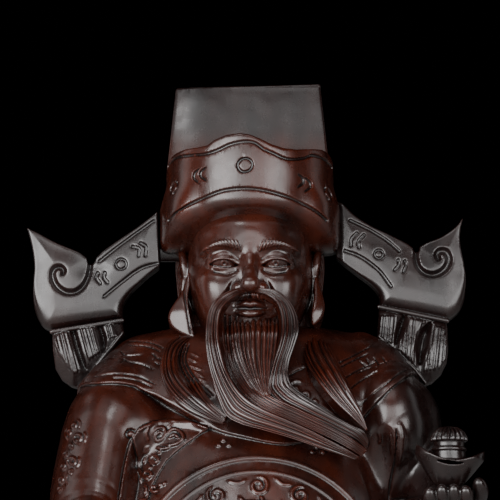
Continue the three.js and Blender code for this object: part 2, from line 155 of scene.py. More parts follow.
# ------------------------------------------------------------------ carved volumes
# A Grid holds signed distances (mm, negative inside) on a block of voxels. Shapes are added and cut with soft joins.
class Grid:
    def __init__(self, x, y, z, d=None):
        self.x1, self.y1, self.z1 = x, y, z
        self.x, self.y, self.z = x[:, None, None], y[None, :, None], z[None, None, :]
        self.d = np.full((len(x), len(y), len(z)), 30, F) if d is None else d

    def blank(self):
        return Grid(self.x1, self.y1, self.z1)

    def part(self, lo, hi):
        s = []
        for a, l, h in zip((self.x1, self.y1, self.z1), lo, hi):
            i, j = np.searchsorted(a, l), np.searchsorted(a, h, side="right")
            if j - i < 1:
                return None
            s.append(slice(i, j))
        return Grid(self.x1[s[0]], self.y1[s[1]], self.z1[s[2]], self.d[s[0], s[1], s[2]])

    def ball_d(self, c, r, turn=None):
        x, y, z = self.x - F(c[0]), self.y - F(c[1]), self.z - F(c[2])
        if turn is not None:
            a, b, g = (math.radians(t) for t in turn)
            rx = np.array([[1, 0, 0], [0, math.cos(a), -math.sin(a)], [0, math.sin(a), math.cos(a)]])
            ry = np.array([[math.cos(b), 0, math.sin(b)], [0, 1, 0], [-math.sin(b), 0, math.cos(b)]])
            rz = np.array([[math.cos(g), -math.sin(g), 0], [math.sin(g), math.cos(g), 0], [0, 0, 1]])
            m = (rz @ ry @ rx).T.astype(F)
            x, y, z = (m[i, 0] * x + m[i, 1] * y + m[i, 2] * z for i in range(3))
        r = [F(v) for v in r]
        q = (x / r[0]) ** 2 + (y / r[1]) ** 2 + (z / r[2]) ** 2
        g = (x / r[0] ** 2) ** 2 + (y / r[1] ** 2) ** 2 + (z / r[2] ** 2) ** 2
        k0, k1 = np.sqrt(q), np.sqrt(g) + F(1e-6)
        return k0 * (k0 - 1) / k1

    def ball(self, c, r, k=2.0, turn=None, cut=False):
        m = max(r) + k + 3
        p = self.part(np.array(c) - m, np.array(c) + m)
        if p is None:
            return
        e = p.ball_d(c, r, turn)
        p.d[...] = smax(p.d, -e, k) if cut else smin(p.d, e, k)

    def chain(self, pts, rad, k=0.0, squash=None):
        """A round bar along the points (radius a number or one for each point), joined by the least distance."""
        pts = np.asarray(pts, float)
        rad = np.broadcast_to(np.asarray(rad, float), (len(pts),))
        sq = np.ones(3) if squash is None else np.asarray(squash, float)
        for a, b, ra, rb in zip(pts[:-1], pts[1:], rad[:-1], rad[1:]):
            m = (max(ra, rb) + k + 2.5) / sq.min()
            g = self.part(np.minimum(a, b) - m, np.maximum(a, b) + m)
            if g is None:
                continue
            ba = (b - a) * sq
            l2 = float(ba @ ba) + 1e-9
            px, py, pz = ((g.x - F(a[0])) * F(sq[0]), (g.y - F(a[1])) * F(sq[1]), (g.z - F(a[2])) * F(sq[2]))
            h = np.clip((px * F(ba[0]) + py * F(ba[1]) + pz * F(ba[2])) / F(l2), 0, 1)
            e = np.sqrt((px - h * F(ba[0])) ** 2 + (py - h * F(ba[1])) ** 2 + (pz - h * F(ba[2])) ** 2)
            e -= F(ra) + h * F(rb - ra)
            g.d[...] = smin(g.d, e, k)

    def add(self, other, k=1.0):
        self.d[...] = smin(self.d, other.d, k)

    def cut(self, other, k=0.4):
        self.d[...] = smax(self.d, -other.d, k)


def volume(lo, hi, vox, fn):
    """Fills a block of voxels with fn, in slabs on several threads."""
    lo = np.floor(np.asarray(lo, float) / vox) * vox
    n = [int(math.ceil((h - l) / vox)) + 1 for l, h in zip(lo, hi)]
    ax = [(lo[k] + vox * np.arange(n[k])).astype(F) for k in range(3)]
    out = np.empty(n, F)
    cuts = np.linspace(0, n[0], 9).astype(int)

    def run(i):
        a, b = cuts[i], cuts[i + 1]
        if b > a:
            g = Grid(ax[0][a:b], ax[1], ax[2], out[a:b])
            g.d[...] = 30
            fn(g)

    with ThreadPoolExecutor(4) as pool:
        list(pool.map(run, range(8)))
    return out, lo, ax


def polygons(out, lo, vox):
    for k in range(3):
        s = [slice(None)] * 3
        for e in (0, -1):
            s[k] = e
            out[tuple(s)] = np.maximum(out[tuple(s)], vox)
    band = 2.5 * vox
    np.clip(out, -band, band, out=out)
    g = openvdb.FloatGrid(band)
    g.copyFromArray(out)
    pts, tris, quads = g.convertToPolygons(0.0, 0.0)
    return pts * vox + lo, tris, quads


def mesh_from(name, pts, tris, quads, flip=False):
    me = bpy.data.meshes.new(name)
    loops = np.concatenate([np.asarray(tris).ravel(), np.asarray(quads).ravel()]).astype(np.int32)
    sizes = np.concatenate([np.full(len(tris), 3), np.full(len(quads), 4)]).astype(np.int32)
    starts = np.concatenate([[0], np.cumsum(sizes)[:-1]]).astype(np.int32)
    me.vertices.add(len(pts))
    me.vertices.foreach_set("co", (np.asarray(pts) / 1000.0).astype(F).ravel())
    me.loops.add(len(loops))
    me.loops.foreach_set("vertex_index", loops)
    me.polygons.add(len(sizes))
    me.polygons.foreach_set("loop_start", starts)
    me.update(calc_edges=True)
    me.validate()
    me.polygons.foreach_set("use_smooth", np.ones(len(me.polygons), bool))
    if flip:
        me.flip_normals()
    return me


def outward(me):
    """Signed volume decides which way round the faces go."""
    me.calc_loop_triangles()
    n = len(me.loop_triangles)
    t = np.empty(n * 3, np.int32)
    me.loop_triangles.foreach_get("vertices", t)
    v = np.empty(len(me.vertices) * 3, F)
    me.vertices.foreach_get("co", v)
    v = v.reshape(-1, 3).astype(float)
    a, b, c = (v[t.reshape(-1, 3)[:, k]] for k in range(3))
    if np.einsum("ij,ij->i", a, np.cross(b, c)).sum() < 0:
        me.flip_normals()


def thin(ob, target):
    """Fewer triangles where the surface is plain."""
    n = sum(len(p.vertices) - 2 for p in ob.data.polygons)
    if n <= target:
        return
    m = ob.modifiers.new("thin", "DECIMATE")
    m.ratio = target / n
    deps = bpy.context.evaluated_depsgraph_get()
    new = bpy.data.meshes.new_from_object(ob.evaluated_get(deps))
    ob.modifiers.clear()
    old = ob.data
    ob.data = new
    bpy.data.meshes.remove(old)
    ob.data.polygons.foreach_set("use_smooth", np.ones(len(ob.data.polygons), bool))
    ob.data.update()


pieces = []


def piece(name, me):
    outward(me)
    ob = bpy.data.objects.new(name, me)
    scene.collection.objects.link(ob)
    pieces.append(ob)
    return ob


def carve(name, lo, hi, vox, fn, target):
    vox = vox * FINE
    out, lo, _ = volume(lo, hi, vox, fn)
    pts, tris, quads = polygons(out, lo, vox)
    ob = piece(name, mesh_from(name, pts, tris, quads))
    thin(ob, int(target / FINE ** 2))
    return ob


# ------------------------------------------------------------------ cap
CAP_W, CAP_F, CAP_B = 39.5, -40.0, 48.0
CAP_M, CAP_H = (CAP_F + CAP_B) / 2, (CAP_B - CAP_F) / 2


def on_band(px, py, out=0.0):
    """The point of the cap's round wall that the frame's point shows."""
    y = CAP_F
    for _ in range(6):
        p = at(px, py, y)
        y = CAP_M - CAP_H * math.sqrt(max(0.02, 1 - (p[0] / CAP_W) ** 2))
    n = np.array([p[0] / CAP_W ** 2, (y - CAP_M) / CAP_H ** 2, 0])
    return np.array([p[0], y, p[2]]) + out * n / np.linalg.norm(n)


def brim_z(y):
    return 331.0 - 15.5 * ss(CAP_F, 0, y) + 5.0 * ss(0, CAP_B, y)


RIM_PX = [(168, 163), (172, 156), (177, 152), (186, 148.5), (197, 147), (207, 145), (214, 139.5), (226, 134.5),
          (240, 132.5), (250, 134), (260, 138), (271, 143.5), (283, 147.5), (296, 149), (309, 148.5), (322, 149),
          (329, 153), (333, 160)]
LINE_TOP = [(166.5, 169), (171, 162), (178, 157.5), (190, 155.5), (206, 154), (218, 150), (230, 144.5), (246, 141.5),
            (255, 143), (263, 148.5), (274, 153.5), (285, 158.5), (294, 159.5), (305, 158), (312, 155.5), (319, 157),
            (326, 161), (332, 168)]
LINE_LOW = [(175, 221), (182, 213), (194, 203), (208, 196), (224, 190.5), (244, 188.5), (262, 190), (280, 194.5),
            (293, 199), (304, 205), (313, 212), (321, 221)]
rim_top = np.array([on_band(*p) for p in RIM_PX])
rim_x, rim_z = rim_top[:, 0], rim_top[:, 2]


def band_marks():
    """Engraved channels on the band: two lines, the ring and the crescents, as (points, half width)."""
    def on(px, py):
        p = on_band(px, py)
        return on_band(px, py, 3.6 * float(ss(350, 334, p[2]) * ss(22, 37, abs(p[0]))))

    put = lambda pts, n: np.array([on(*p) for p in even(spline(pts, n), 1.0)])
    res = [(put(LINE_TOP, 90), 0.8), (put(LINE_LOW, 80), 0.85)]
    a = np.linspace(0, 2 * math.pi, 37)
    ring = [(245 + 7.3 * math.cos(t) + 0.9 * math.sin(t), 165.2 + 6.6 * math.sin(t) - 1.2 * math.cos(t)) for t in a]
    res.append((np.array([on(*p) for p in ring]), 0.7))
    for cx, cy, s, h in ((196.5, 177, -1, 7.5), (203, 175, -1, 6.5), (301, 180, 1, 6.5), (307.5, 184, 1, 7)):
        arc = [(cx + s * (2.2 - 5.5 * (t / h) ** 2), cy + t + 0.8 * s) for t in np.linspace(-h, h, 9)]
        res.append((np.array([on(*p) for p in arc]), np.array([.35, .6, .8, .95, 1.0, .95, .8, .6, .35]) * 1.1))
    for cx, cy, s in ((174.5, 189, -1), (178.5, 188, 1), (322, 194, -1), (326, 196, 1)):
        arc = [(cx + s * (1.2 - 2.2 * (t / 6) ** 2), cy + t) for t in np.linspace(-6, 6, 7)]
        res.append((np.array([on(*p) for p in arc]), 0.8))
    return res


MARKS = band_marks()


def cap(g):
    x, y, z = g.x, g.y, g.z
    ax, v = np.abs(x), y - F(CAP_M)
    qf = np.sqrt((ax / CAP_W) ** 2 + (v / CAP_H) ** 2)
    qb = ((ax / CAP_W) ** F(2.5) + (np.abs(v) / CAP_H) ** F(2.5)) ** F(1 / 2.5)
    w = ss(-6, 10, v)
    q = np.maximum(qf * (1 - w) + qb * w, 0.02)
    rr = np.sqrt(x * x + v * v)
    # the sides of the brim flare outwards
    flare = 3.6 * ss(350, 334, z) * ss(22, 37, ax)
    side = rr * (1 - 1 / q) - flare
    # slight swell between the two engraved lines
    belly = 0.5 * np.exp(-((z - 350) / 12.0) ** 2)
    top = np.interp(g.x1, rim_x, rim_z).astype(F)[:, None, None] + 0 * y
    top = top * (1 - ss(0, 14, v)) + 365.0 * ss(0, 14, v)
    low = brim_z(y)
    g.d[...] = smax(side - belly, z - top, 1.6)
    # sunk floor inside the wavy rim
    inner = smax(side + 3.2, 359.5 - z, 1.0)
    g.d[...] = smax(g.d, -inner, 0.8)
    # rounded brim
    g.d[...] = smax(g.d, low - z, 5.5)
    # engraved lines
    lines = g.blank()
    for pts, r in MARKS:
        lines.chain(pts, r)
    floor = side - belly + 1.25                               # flat bottom of the channels
    g.d[...] = smax(g.d, np.minimum(-lines.d, floor), 0.2)


def crown(g):
    x, y, z = g.x + F(0.9), g.y, g.z
    t = np.clip((z - 350) / 50, 0, 1)
    w = 39.6 - 4.3 * t
    f = 2.0 + 14 * t - 1.8 * np.sin(np.pi * t)
    b = 42.0 - 2 * t
    # slightly dished front
    dish = 0.9 * (1 - (x / 38) ** 2) + 2.1 * np.clip((-x - 20) / 16, 0, 1.1) ** 2
    dx = np.abs(x) - w
    front = (f + dish - y) * 0.96
    back = y - b
    d = smax(smax(dx, front, 1.5), back, 7.0)
    d = smax(d, z - (401.2 + 0.8 * x / 33), 1.1)
    g.d[...] = smax(d, 352 - z, 0.5)


def guard(g):
    x, y, z = g.x, g.y, g.z
    w, = table([[268, 36], [273, 36], [278, 34.5], [284, 32.6], [292, 31.4], [304, 31.2], [316, 31.2], [326, 32.5], [338, 36]], g.z1)
    w = w[None, None, :]
    f = -1.0 - 6.0 * ss(300, 274, z)
    b = 43 + 3 * ss(285, 325, z)
    m, h = (f + b) / 2, (b - f) / 2
    q = ((np.abs(x) / w) ** F(4.2) + (np.abs(y - m) / h) ** F(4.2)) ** F(1 / 4.2)
    rr = np.sqrt(x * x + (y - m) ** 2) + 1e-3
    d = rr * (1 - 1 / np.maximum(q, 0.02))
    d = smax(d, 270 - z, 1.0)
    d = smax(d, z - 338, 1.0)
    g.d[...] = d
    for s in (-1, 1):
        if s < 0:
            px = [(189, 271), (184.5, 283), (181.5, 293), (175, 302.5), (169.5, 312), (168, 320), (172, 328), (182, 335.5), (195, 340),
                  (193, 331), (190.5, 320), (188.5, 308), (188.5, 296), (190.5, 284)]
        else:
            px = [(316, 276), (320.5, 288), (323.8, 299), (325, 309), (323, 317), (318.5, 323.5), (312.5, 327), (311, 318), (313, 306),
                  (314.2, 294), (314, 283)]
        poly = spline([at(u, v, -10)[[0, 2]] for u, v in px], 60, True)
        p = g.part((s * 34 - 10, -24, 268), (s * 34 + 10, 14, 308))
        if p is None:
            continue
        m = poly_d(p.x1[:, None], p.z1[None, :], poly)[:, None, :].astype(F)
        u = np.abs(p.x)
        front = F(-17.0) + 0.3 * (u - 28) + 0.006 * (u - 28) ** 2 + 8.0 * ss(284, 306, p.z) - p.y
        crease = 1.1 * np.exp(-((u - 31.4 + 0.17 * (296 - p.z)) / 0.5) ** 2) * ss(301, 295, p.z) * ss(272, 278, p.z) * (0.0 if s > 0 else 1.0)
        p.d[...] = smin(p.d, smax(smax(m, front + crease, 1.5), p.y - 10, 1.0), 1.2)


def cap_all(g):
    cap(g)
    c = g.blank()
    crown(c)
    g.add(c, 0.7)
    c.d[...] = 30
    guard(c)
    g.add(c, 2.0)
    # flat seam tapes down the back of the cap, and a fold line of the neck cloth
    for s in (-1, 1):
        g.ball((s * 20, 47.6, 338), (1.6, 1.4, 22), 1.2)
    seam = g.blank()
    seam.chain(spline([(-35.5, 26, 322), (-30, 45.5, 320), (0, 47.5, 318), (30, 45.5, 320), (35.5, 26, 322)], 60), 0.7)
    g.cut(seam, 0.5)


# ------------------------------------------------------------------ wings of the cap and their tassels
WING_F, WING_T = -5.0, 14.0
WINGS = {
    -1: dict(
        outline=[(157.5, 210.6), (138, 225.5), (118.8, 238.4), (103, 249.5), (96.2, 256), (93, 262), (88.5, 262.5),
                 (86.5, 256.5), (78.8, 250.8), (65, 245), (52.5, 239.5), (40, 232.5), (26, 225.6), (29.5, 238), (32.2, 251),
                 (33.6, 265), (32.6, 280), (32, 293), (33.2, 306), (37, 317), (42.5, 325), (49, 328.5),
                 (122.5, 317), (123, 304), (129, 293), (144, 278), (159.5, 265.5)],
        scroll=[(90.5, 257), (90, 265), (87.5, 277), (82.5, 286), (75, 291.3), (66, 291.6), (57.5, 286.5), (53, 279),
                (52.2, 271.5), (55.5, 266.8), (60.5, 266.5), (63.4, 269.8), (62.2, 272.8)],
        wide=[3.2, 3.3, 3.5, 3.7, 3.9, 4.1, 4.2, 4.1, 3.9, 3.7, 3.6, 3.5, 3.0],
        lines=[[(153.8, 220.6), (135, 233.8), (115, 248.4), (99.4, 260.6)], [(157, 263), (141, 268), (122.5, 281), (104, 296)]],
        arcs=[[(132.5, 246.5), (139, 248.5), (138.6, 255.5)], [(140.5, 243), (146, 246.5), (145.4, 255)],
              [(97.5, 272.5), (96.3, 277.5), (100, 282.5)], [(104.6, 272.3), (103.9, 277.2), (107.4, 282)]],
        ring=(121, 263.8, 5.2),
        root=(157.5, 1)),
    1: dict(
        outline=[(336.5, 198.5), (342, 201), (355, 213.5), (371, 224), (392.5, 234.4), (408, 242.6), (412.8, 246), (415, 250),
                 (418.5, 250.5), (420, 245.5), (427.5, 241.2), (442.5, 235), (455, 226.4), (463.8, 216), (461, 229), (460.8, 243),
                 (464.2, 261), (466.6, 280), (465, 299), (460.6, 309), (454, 315.5), (447.5, 319),
                 (381, 304.5), (379, 293), (372.5, 284.5), (361, 275.5), (347, 265), (336.5, 256)],
        scroll=[(416.5, 248), (416.3, 257), (418.5, 266), (424.5, 272.3), (432.5, 274.6), (441, 272), (447.4, 265.5), (449.2, 257.5),
                (446, 251.2), (440.6, 250.4), (437.4, 254), (438.6, 258.2)],
        wide=[3.2, 3.4, 3.6, 3.8, 4.0, 4.2, 4.3, 4.3, 4.3, 4.2, 4.2, 3.6],
        lines=[[(350.6, 219.4), (371, 229.4), (388.8, 241), (399.4, 250.6)], [(345, 250), (360, 256), (378.8, 270), (391, 286)]],
        arcs=[[(357, 232.5), (351.5, 238.8), (351.2, 245)], [(364, 234.3), (358.6, 241), (359.2, 247)],
              [(398.4, 260), (399, 265), (395, 269.6)], [(405.2, 260.8), (406, 266), (403.8, 271.5)]],
        ring=(379, 253.8, 4.3),
        root=(336.5, -1)),
}


def poly_d(px, pz, poly):
    """Signed distance in a plane to a closed outline."""
    d = np.full(np.broadcast(px, pz).shape, 1e9)
    inside = np.zeros(d.shape, bool)
    for a, b in zip(poly, np.roll(poly, -1, 0)):
        e = b - a
        wx, wz = px - a[0], pz - a[1]
        t = np.clip((wx * e[0] + wz * e[1]) / (e @ e + 1e-12), 0, 1)
        d = np.minimum(d, (wx - t * e[0]) ** 2 + (wz - t * e[1]) ** 2)
        c = ((a[1] > pz) != (b[1] > pz)) & (px < (b[0] - a[0]) * (pz - a[1]) / (b[1] - a[1] + 1e-12) + a[0])
        inside ^= c
    d = np.sqrt(d)
    return np.where(inside, -d, d)


def line_d(px, pz, pts, rad):
    """Distance in a plane to a line of given half width."""
    rad = np.broadcast_to(np.asarray(rad, float), (len(pts),))
    d = np.full(np.broadcast(px, pz).shape, 1e9)
    for a, b, ra, rb in zip(pts[:-1], pts[1:], rad[:-1], rad[1:]):
        e = b - a
        wx, wz = px - a[0], pz - a[1]
        t = np.clip((wx * e[0] + wz * e[1]) / (e @ e + 1e-12), 0, 1)
        d = np.minimum(d, np.sqrt((wx - t * e[0]) ** 2 + (wz - t * e[1]) ** 2) - (ra + t * (rb - ra)))
    return d


def flat(pts, n=0, closed=False):
    q = np.array([at(u, v, WING_F)[[0, 2]] for u, v in pts])
    return spline(q, n, closed) if n else q


def outline_of(o, corners):
    """Smooth stretches between the sharp corners of a closed outline."""
    q = flat(o)
    idx = sorted(corners)
    res = []
    for a, b in zip(idx, idx[1:] + [idx[0] + len(q)]):
        run = np.array([q[i % len(q)] for i in range(a, b + 1)])
        res.append(spline(run, 6 * len(run))[:-1] if len(run) > 2 else run[:-1])
    return np.vstack(res)


def wing(side):
    w = WINGS[side]
    sharp = {-1: [0, 4, 7, 12, 21, 22, 26], 1: [0, 6, 9, 13, 21, 22, 27]}[side]
    poly = outline_of(w["outline"], sharp)
    scroll = flat(w["scroll"], 60)
    wide = np.interp(np.linspace(0, 1, 60), np.linspace(0, 1, len(w["wide"])), w["wide"]) * 0.476
    lines = [flat(l, 30) for l in w["lines"]]
    arcs = [flat(a, 10) for a in w["arcs"]]
    c, r = flat([w["ring"][:2]])[0], w["ring"][2] * 0.476
    t = np.linspace(0, 2 * math.pi, 33)
    ring = np.stack([c[0] + r * np.cos(t), c[1] + r * np.sin(t)], 1)
    foot_a, foot_b = (poly_pt for poly_pt in (flat([w["outline"][21]])[0], flat([w["outline"][22]])[0]))
    root_x = flat([(w["root"][0], 230)])[0][0]
    # tassel: top line under the wing's foot, and its own outline
    if side < 0:
        tas = [(51.5, 331), (122, 319.5), (124.5, 333), (112, 350), (98, 367), (87, 380), (80, 387.5), (70, 384.5), (61, 378),
               (54.5, 367), (52.3, 350)]
        gaps = [([(72.5, 330), (76.5, 345), (82, 362), (84.5, 368)], [3.0, 3.4, 3.2, 1.6]),
                ([(99.5, 326), (103, 338), (103.5, 347), (102.5, 352)], [2.6, 3.2, 2.4, 0.8])]
        pads = [[(52.5, 337), (57, 332.5), (63, 330), (68.5, 329.5), (73, 345), (80.5, 369.5), (78, 373), (73, 374.5), (66, 367), (58, 354), (52, 343)],
                [(77.5, 326.8), (87, 325.5), (95.5, 324.5), (99, 338), (102, 352), (95, 357), (88, 361.5), (84, 350)],
                [(103.5, 324), (113.5, 321), (116, 330), (118.6, 336.6), (112, 338.8), (107.2, 340.8), (106.3, 332)]]
        slant = 0.27
    else:
        tas = [(379.5, 306), (447.5, 320), (448.6, 334), (448.8, 350), (447.5, 362), (442, 373), (434, 380.5), (425, 384.5), (414, 371),
               (397, 355), (377.5, 337)]
        gaps = [([(404.5, 316.5), (402, 324), (398.8, 334), (396.2, 342)], [3.0, 4.8, 4.2, 1.8]),
                ([(430, 323), (425.5, 332), (421.8, 346), (420.3, 361)], [2.0, 5.4, 6.0, 3.2])]
        pads = [[(379.3, 313.5), (388, 313.3), (398, 314.5), (396, 327), (393.6, 338), (393.2, 345.5), (385, 341), (376.6, 335.5)],
                [(409.2, 316), (420.5, 318.5), (431, 320), (423, 325), (418, 335), (415.3, 348), (416, 362), (418.5, 369.5), (407, 359), (397, 349.5),
                 (401, 338), (406, 327)],
                [(434, 323.5), (441, 325.5), (447, 328), (448.3, 345), (447, 360), (441, 369), (431, 371.5), (423, 372), (424.5, 362), (428.5, 350),
                 (431.8, 335)]]
        slant = -0.1
    tas_poly = flat(tas)
    pads = [flat(q) for q in pads]
    gaps = [(flat(a, 20), np.interp(np.linspace(0, 1, 20), np.linspace(0, 1, len(b)), b) * 0.476) for a, b in gaps]
    bead = flat([tas[0], tas[1]])
    bead = even(bead, 2.0)
    strip = flat([tas[2], tas[5], tas[6]] if side < 0 else [tas[10], tas[8], tas[7]])

    def fn(g):
        X, Z = g.x1[:, None].astype(float), g.z1[None, :].astype(float)
        d2 = poly_d(X, Z, poly)
        y = g.y
        mid = WING_F + WING_T / 2
        # lower edges are rounded, upper edges are crisp
        frac = (Z - (0.5 * (foot_a[1] + foot_b[1]))) / 40.0
        soft = 1.3 + 5.2 * ss(0.55, 0.02, frac)
        low_bar = ss(0, 9, -(X - root_x) * side * -1) * 0
        soft = (soft + low_bar).astype(F)[:, None, :]
        d2f = d2.astype(F)[:, None, :]
        front = F(WING_F) - y
        # facet next to the cap
        fx = ss(3.6, 0.4, np.abs(X - root_x)) * (1.5 if side > 0 else 0.15)
        turn = (1.1 * ss(-11, 0, d2) - 0.35 + (0.05 * np.clip(-X - 43, 0, 80) if side < 0 else 0.075 * (Z - 300))).astype(F)[:, None, :]
        front = front + fx.astype(F)[:, None, :] + turn
        back = y - F(WING_F + WING_T)
        h = np.clip(0.5 - 0.5 * (front - d2f) / soft, 0, 1)
        body = front + (d2f - front) * h + soft * h * (1 - h)
        body = smax(body, back, 2.5)
        # V channel of the scroll
        ds = line_d(X, Z, scroll, 0.0)
        half = line_d(X, Z, scroll, wide)
        depth = np.clip(-half * 1.6, 0, 2.5)
        # flat channels
        dl = np.minimum.reduce([line_d(X, Z, l, 0.75) for l in lines]
                               + [line_d(X, Z, a, 0.85) for a in arcs] + [line_d(X, Z, ring, 0.6)])
        depth = np.maximum(depth, 0.95 * ss(0.1, -0.25, dl))
        cut = F(WING_F) + depth.astype(F)[:, None, :] + turn - y
        near = np.maximum(np.where(half < 0.6, 1, 0), np.where(dl < 0.6, 1, 0)).astype(bool)[:, None, :]
        body = np.where(near, smax(body, cut + np.minimum(0, fx.astype(F)[:, None, :]), 0.25), body)
        g.d[...] = body
        # stem behind, into the cap
        zc = 0.5 * (flat([w["outline"][0]])[0][1] + flat([w["outline"][-1]])[0][1])
        xm = np.abs(g.x - F(side * 40)) - 8
        stem = np.maximum(xm, (np.sqrt(((y - 7) / 4.2) ** 2 + ((g.z - F(zc)) / 9.5) ** 2) - 1) * 4.2)
        g.d[...] = smin(g.d, stem, 0.6)
        # tassel
        t2 = poly_d(X, Z, tas_poly)
        u = (X - side * 0 + slant * (Z - 280) * 1.0)
        # three pads of cut strands on a plain block, with hollows between them
        ridge = np.cos(np.pi * u / 1.85 + 0.5 * np.sin(Z * 0.06 + u * 0.7)) ** 2
        dp = np.minimum.reduce([poly_d(X, Z, q) for q in pads])
        relief = -1.2 - 0.62 * np.clip(dp, 0, 5) + 1.3 * ss(0.1, -1.2, dp) - (0.62 * ridge + 0.2 * np.sin(u * 1.3 + 1.0)) * ss(0.1, -0.7, dp)
        relief -= np.clip(0.3 - 1.5 * np.minimum.reduce([line_d(X, Z, a, b) for a, b in gaps]), 0, 3.6) * ss(-0.9, 0.0, dp)
        swell = 1.6 * np.exp(-((Z - 268) / 9.0) ** 2)
        strip_d = line_d(X, Z, strip, 1.25)
        relief = np.where(strip_d < 0.3, relief * 0 + 0.25 * ss(0.3, -0.3, strip_d) - 0.2 * ss(-0.7, -1.1, strip_d), relief)
        face = F(WING_F + 1.4) - (relief + swell).astype(F)[:, None, :] - y
        tas_d = smax(smax(t2.astype(F)[:, None, :], face, 1.6), y - 9.5, 3.0)
        g.d[...] = smin(g.d, tas_d, 0.5)
        b = g.blank()
        b.chain(np.stack([bead[:, 0], np.full(len(bead), WING_F + 2.6), bead[:, 1]], 1), 1.15)
        g.add(b, 0.3)

    xs = [p[0] for p in poly] + [side * 33.0]
    lo = (min(xs) - 1.5, -9.5, 243.0)
    hi = (max(xs) + 1.5, 12.5, max(p[1] for p in poly) + 1.5)
    name = "cap_wing_left" if side > 0 else "cap_wing_right"
    return carve(name, lo, hi, 0.36, fn, 95000)


# ------------------------------------------------------------------ trunk, limbs and base (plain masses)
ROBE = [[18, 68, -48, 42], [30, 73, -55, 46], [60, 67, -54, 42], [95, 67, -58, 41], [140, 69, -63, 42],
        [180, 68, -63.5, 43], [198, 63, -58, 43], [210, 60, -52, 43], [222, 58, -45, 42.5], [235, 55, -36.5, 42], [255, 48, -23, 39],
        [271, 42, -13, 30], [276, 36, -10, 26]]
CAPE = [[222, 64, -44, 42], [232, 72, -43.5, 44], [242, 76.5, -41.5, 45], [255, 74.5, -34, 43], [265, 69, -27, 39], [273, 61, -19, 32],
        [277, 50, -12, 26], [279.5, 38, -8, 22], [281, 24, -4, 16], [282, 14, 0, 12]]
# lower edge of the cape in front: place across, height
CAPE_EDGE = [[-100, 253], [-85, 251], [-72, 249], [-61, 248.6], [-50, 246.5], [-37, 238.6], [-21, 229], [-5, 223], [15, 219], [30, 222], [48, 230],
             [58, 239], [65, 246], [71, 251], [77, 255.5], [95, 262]]
ROUND = (3.7, 155.0, 57.0)
INGOT = (90.3, -54.0, 210.0)


def section(g, rows, p=2.27):
    w, f, b = (c[None, None, :] for c in table(rows, g.z1))
    m, h = (f + b) / 2, (b - f) / 2
    v = g.y - m
    q = ((np.abs(g.x) / w) ** F(p) + (np.abs(v) / h) ** F(p)) ** F(1 / p)
    rr = np.sqrt(g.x ** 2 + v ** 2)
    return rr * (1 - 1 / np.maximum(q, F(0.03))), np.arctan2(v / h, g.x / w)


ARM_R = ([(-52, 3, 256), (-61, -5, 243), (-69, -18, 227), (-72, -25, 210), (-74, -30.5, 195), (-74.5, -41, 181), (-73.5, -58, 172)],
         [18, 22.5, 25, 25.5, 25.5, 22, 17], 1.5, 0.3)
ARM_L = ([(52, 3, 258), (59.5, -1, 251), (63.5, -7.5, 243), (66, -17.5, 232), (76, -12, 213), (87, -24, 197), (90, -42, 188)],
         [18, 20.5, 21.5, 23, 15.5, 15, 13.5], 1.4, 0.0)


def limb(g, spec, k):
    pts, rad, sq, sh = spec
    p = spline([list(a) + [r] for a, r in zip(pts, rad)], 16)
    c = g.blank()
    for a, b in zip(p[:-1], p[1:]):
        h = c.part(np.minimum(a, b)[:3] - 40, np.maximum(a, b)[:3] + 40)
        if h is None:
            continue
        ba = np.array([(b[0] - a[0] + sh * (b[1] - a[1])) * sq, b[1] - a[1], b[2] - a[2]])
        px, py, pz = (h.x - F(a[0]) + F(sh) * (h.y - F(a[1]))) * F(sq), h.y - F(a[1]), h.z - F(a[2])
        t = np.clip((px * F(ba[0]) + py * F(ba[1]) + pz * F(ba[2])) / F(ba @ ba), 0, 1)
        e = np.sqrt((px - t * F(ba[0])) ** 2 + (py - t * F(ba[1])) ** 2 + (pz - t * F(ba[2])) ** 2)
        e = (e - (F(a[3]) + t * F(b[3] - a[3]))) / F(1 + (sq - 1) * 0.6)
        h.d[...] = np.minimum(h.d, e)
    g.add(c, k)


def sleeve(g, s, cx, front, back, half, z0, z1, k):
    h = g.part((min(s * cx - 26, s * cx + 26), front - 14, z0 - 16), (max(s * cx - 26, s * cx + 26), back + 8, z1 + 6))
    if h is None:
        return
    t = np.clip((h.z - z0 - 5) / (z1 - z0), 0, 1)
    f, b = front + 9 * (1 - t) ** 1.5, back - 22 * (1 - t) ** 1.3 - 17 * ss(0.66, 1.0, t)
    w = half * (0.7 + 0.3 * ss(0, 0.45, t))
    x, y = h.x - s * (cx - 3 * (1 - t)), h.y - (f + b) / 2
    a = np.arctan2(y, s * x)
    w = w * (1 + 0.07 * np.cos(5 * a + 1.3) * ss(0.9, 0.2, t))
    q = ((np.abs(x) / w) ** F(2.3) + (np.abs(y) / ((b - f) / 2)) ** F(2.6)) ** F(1 / 2.45)
    d = np.sqrt(x * x + y * y) * (1 - 1 / np.maximum(q, F(0.05)))
    tilt = 9 * y / ((b - f) / 2) * (1 - t)
    d = smax(d, z0 + tilt - h.z, 3.0)
    d = smax(d, h.z - z1 - 3, 3.0)
    h.d[...] = smin(h.d, d, k)


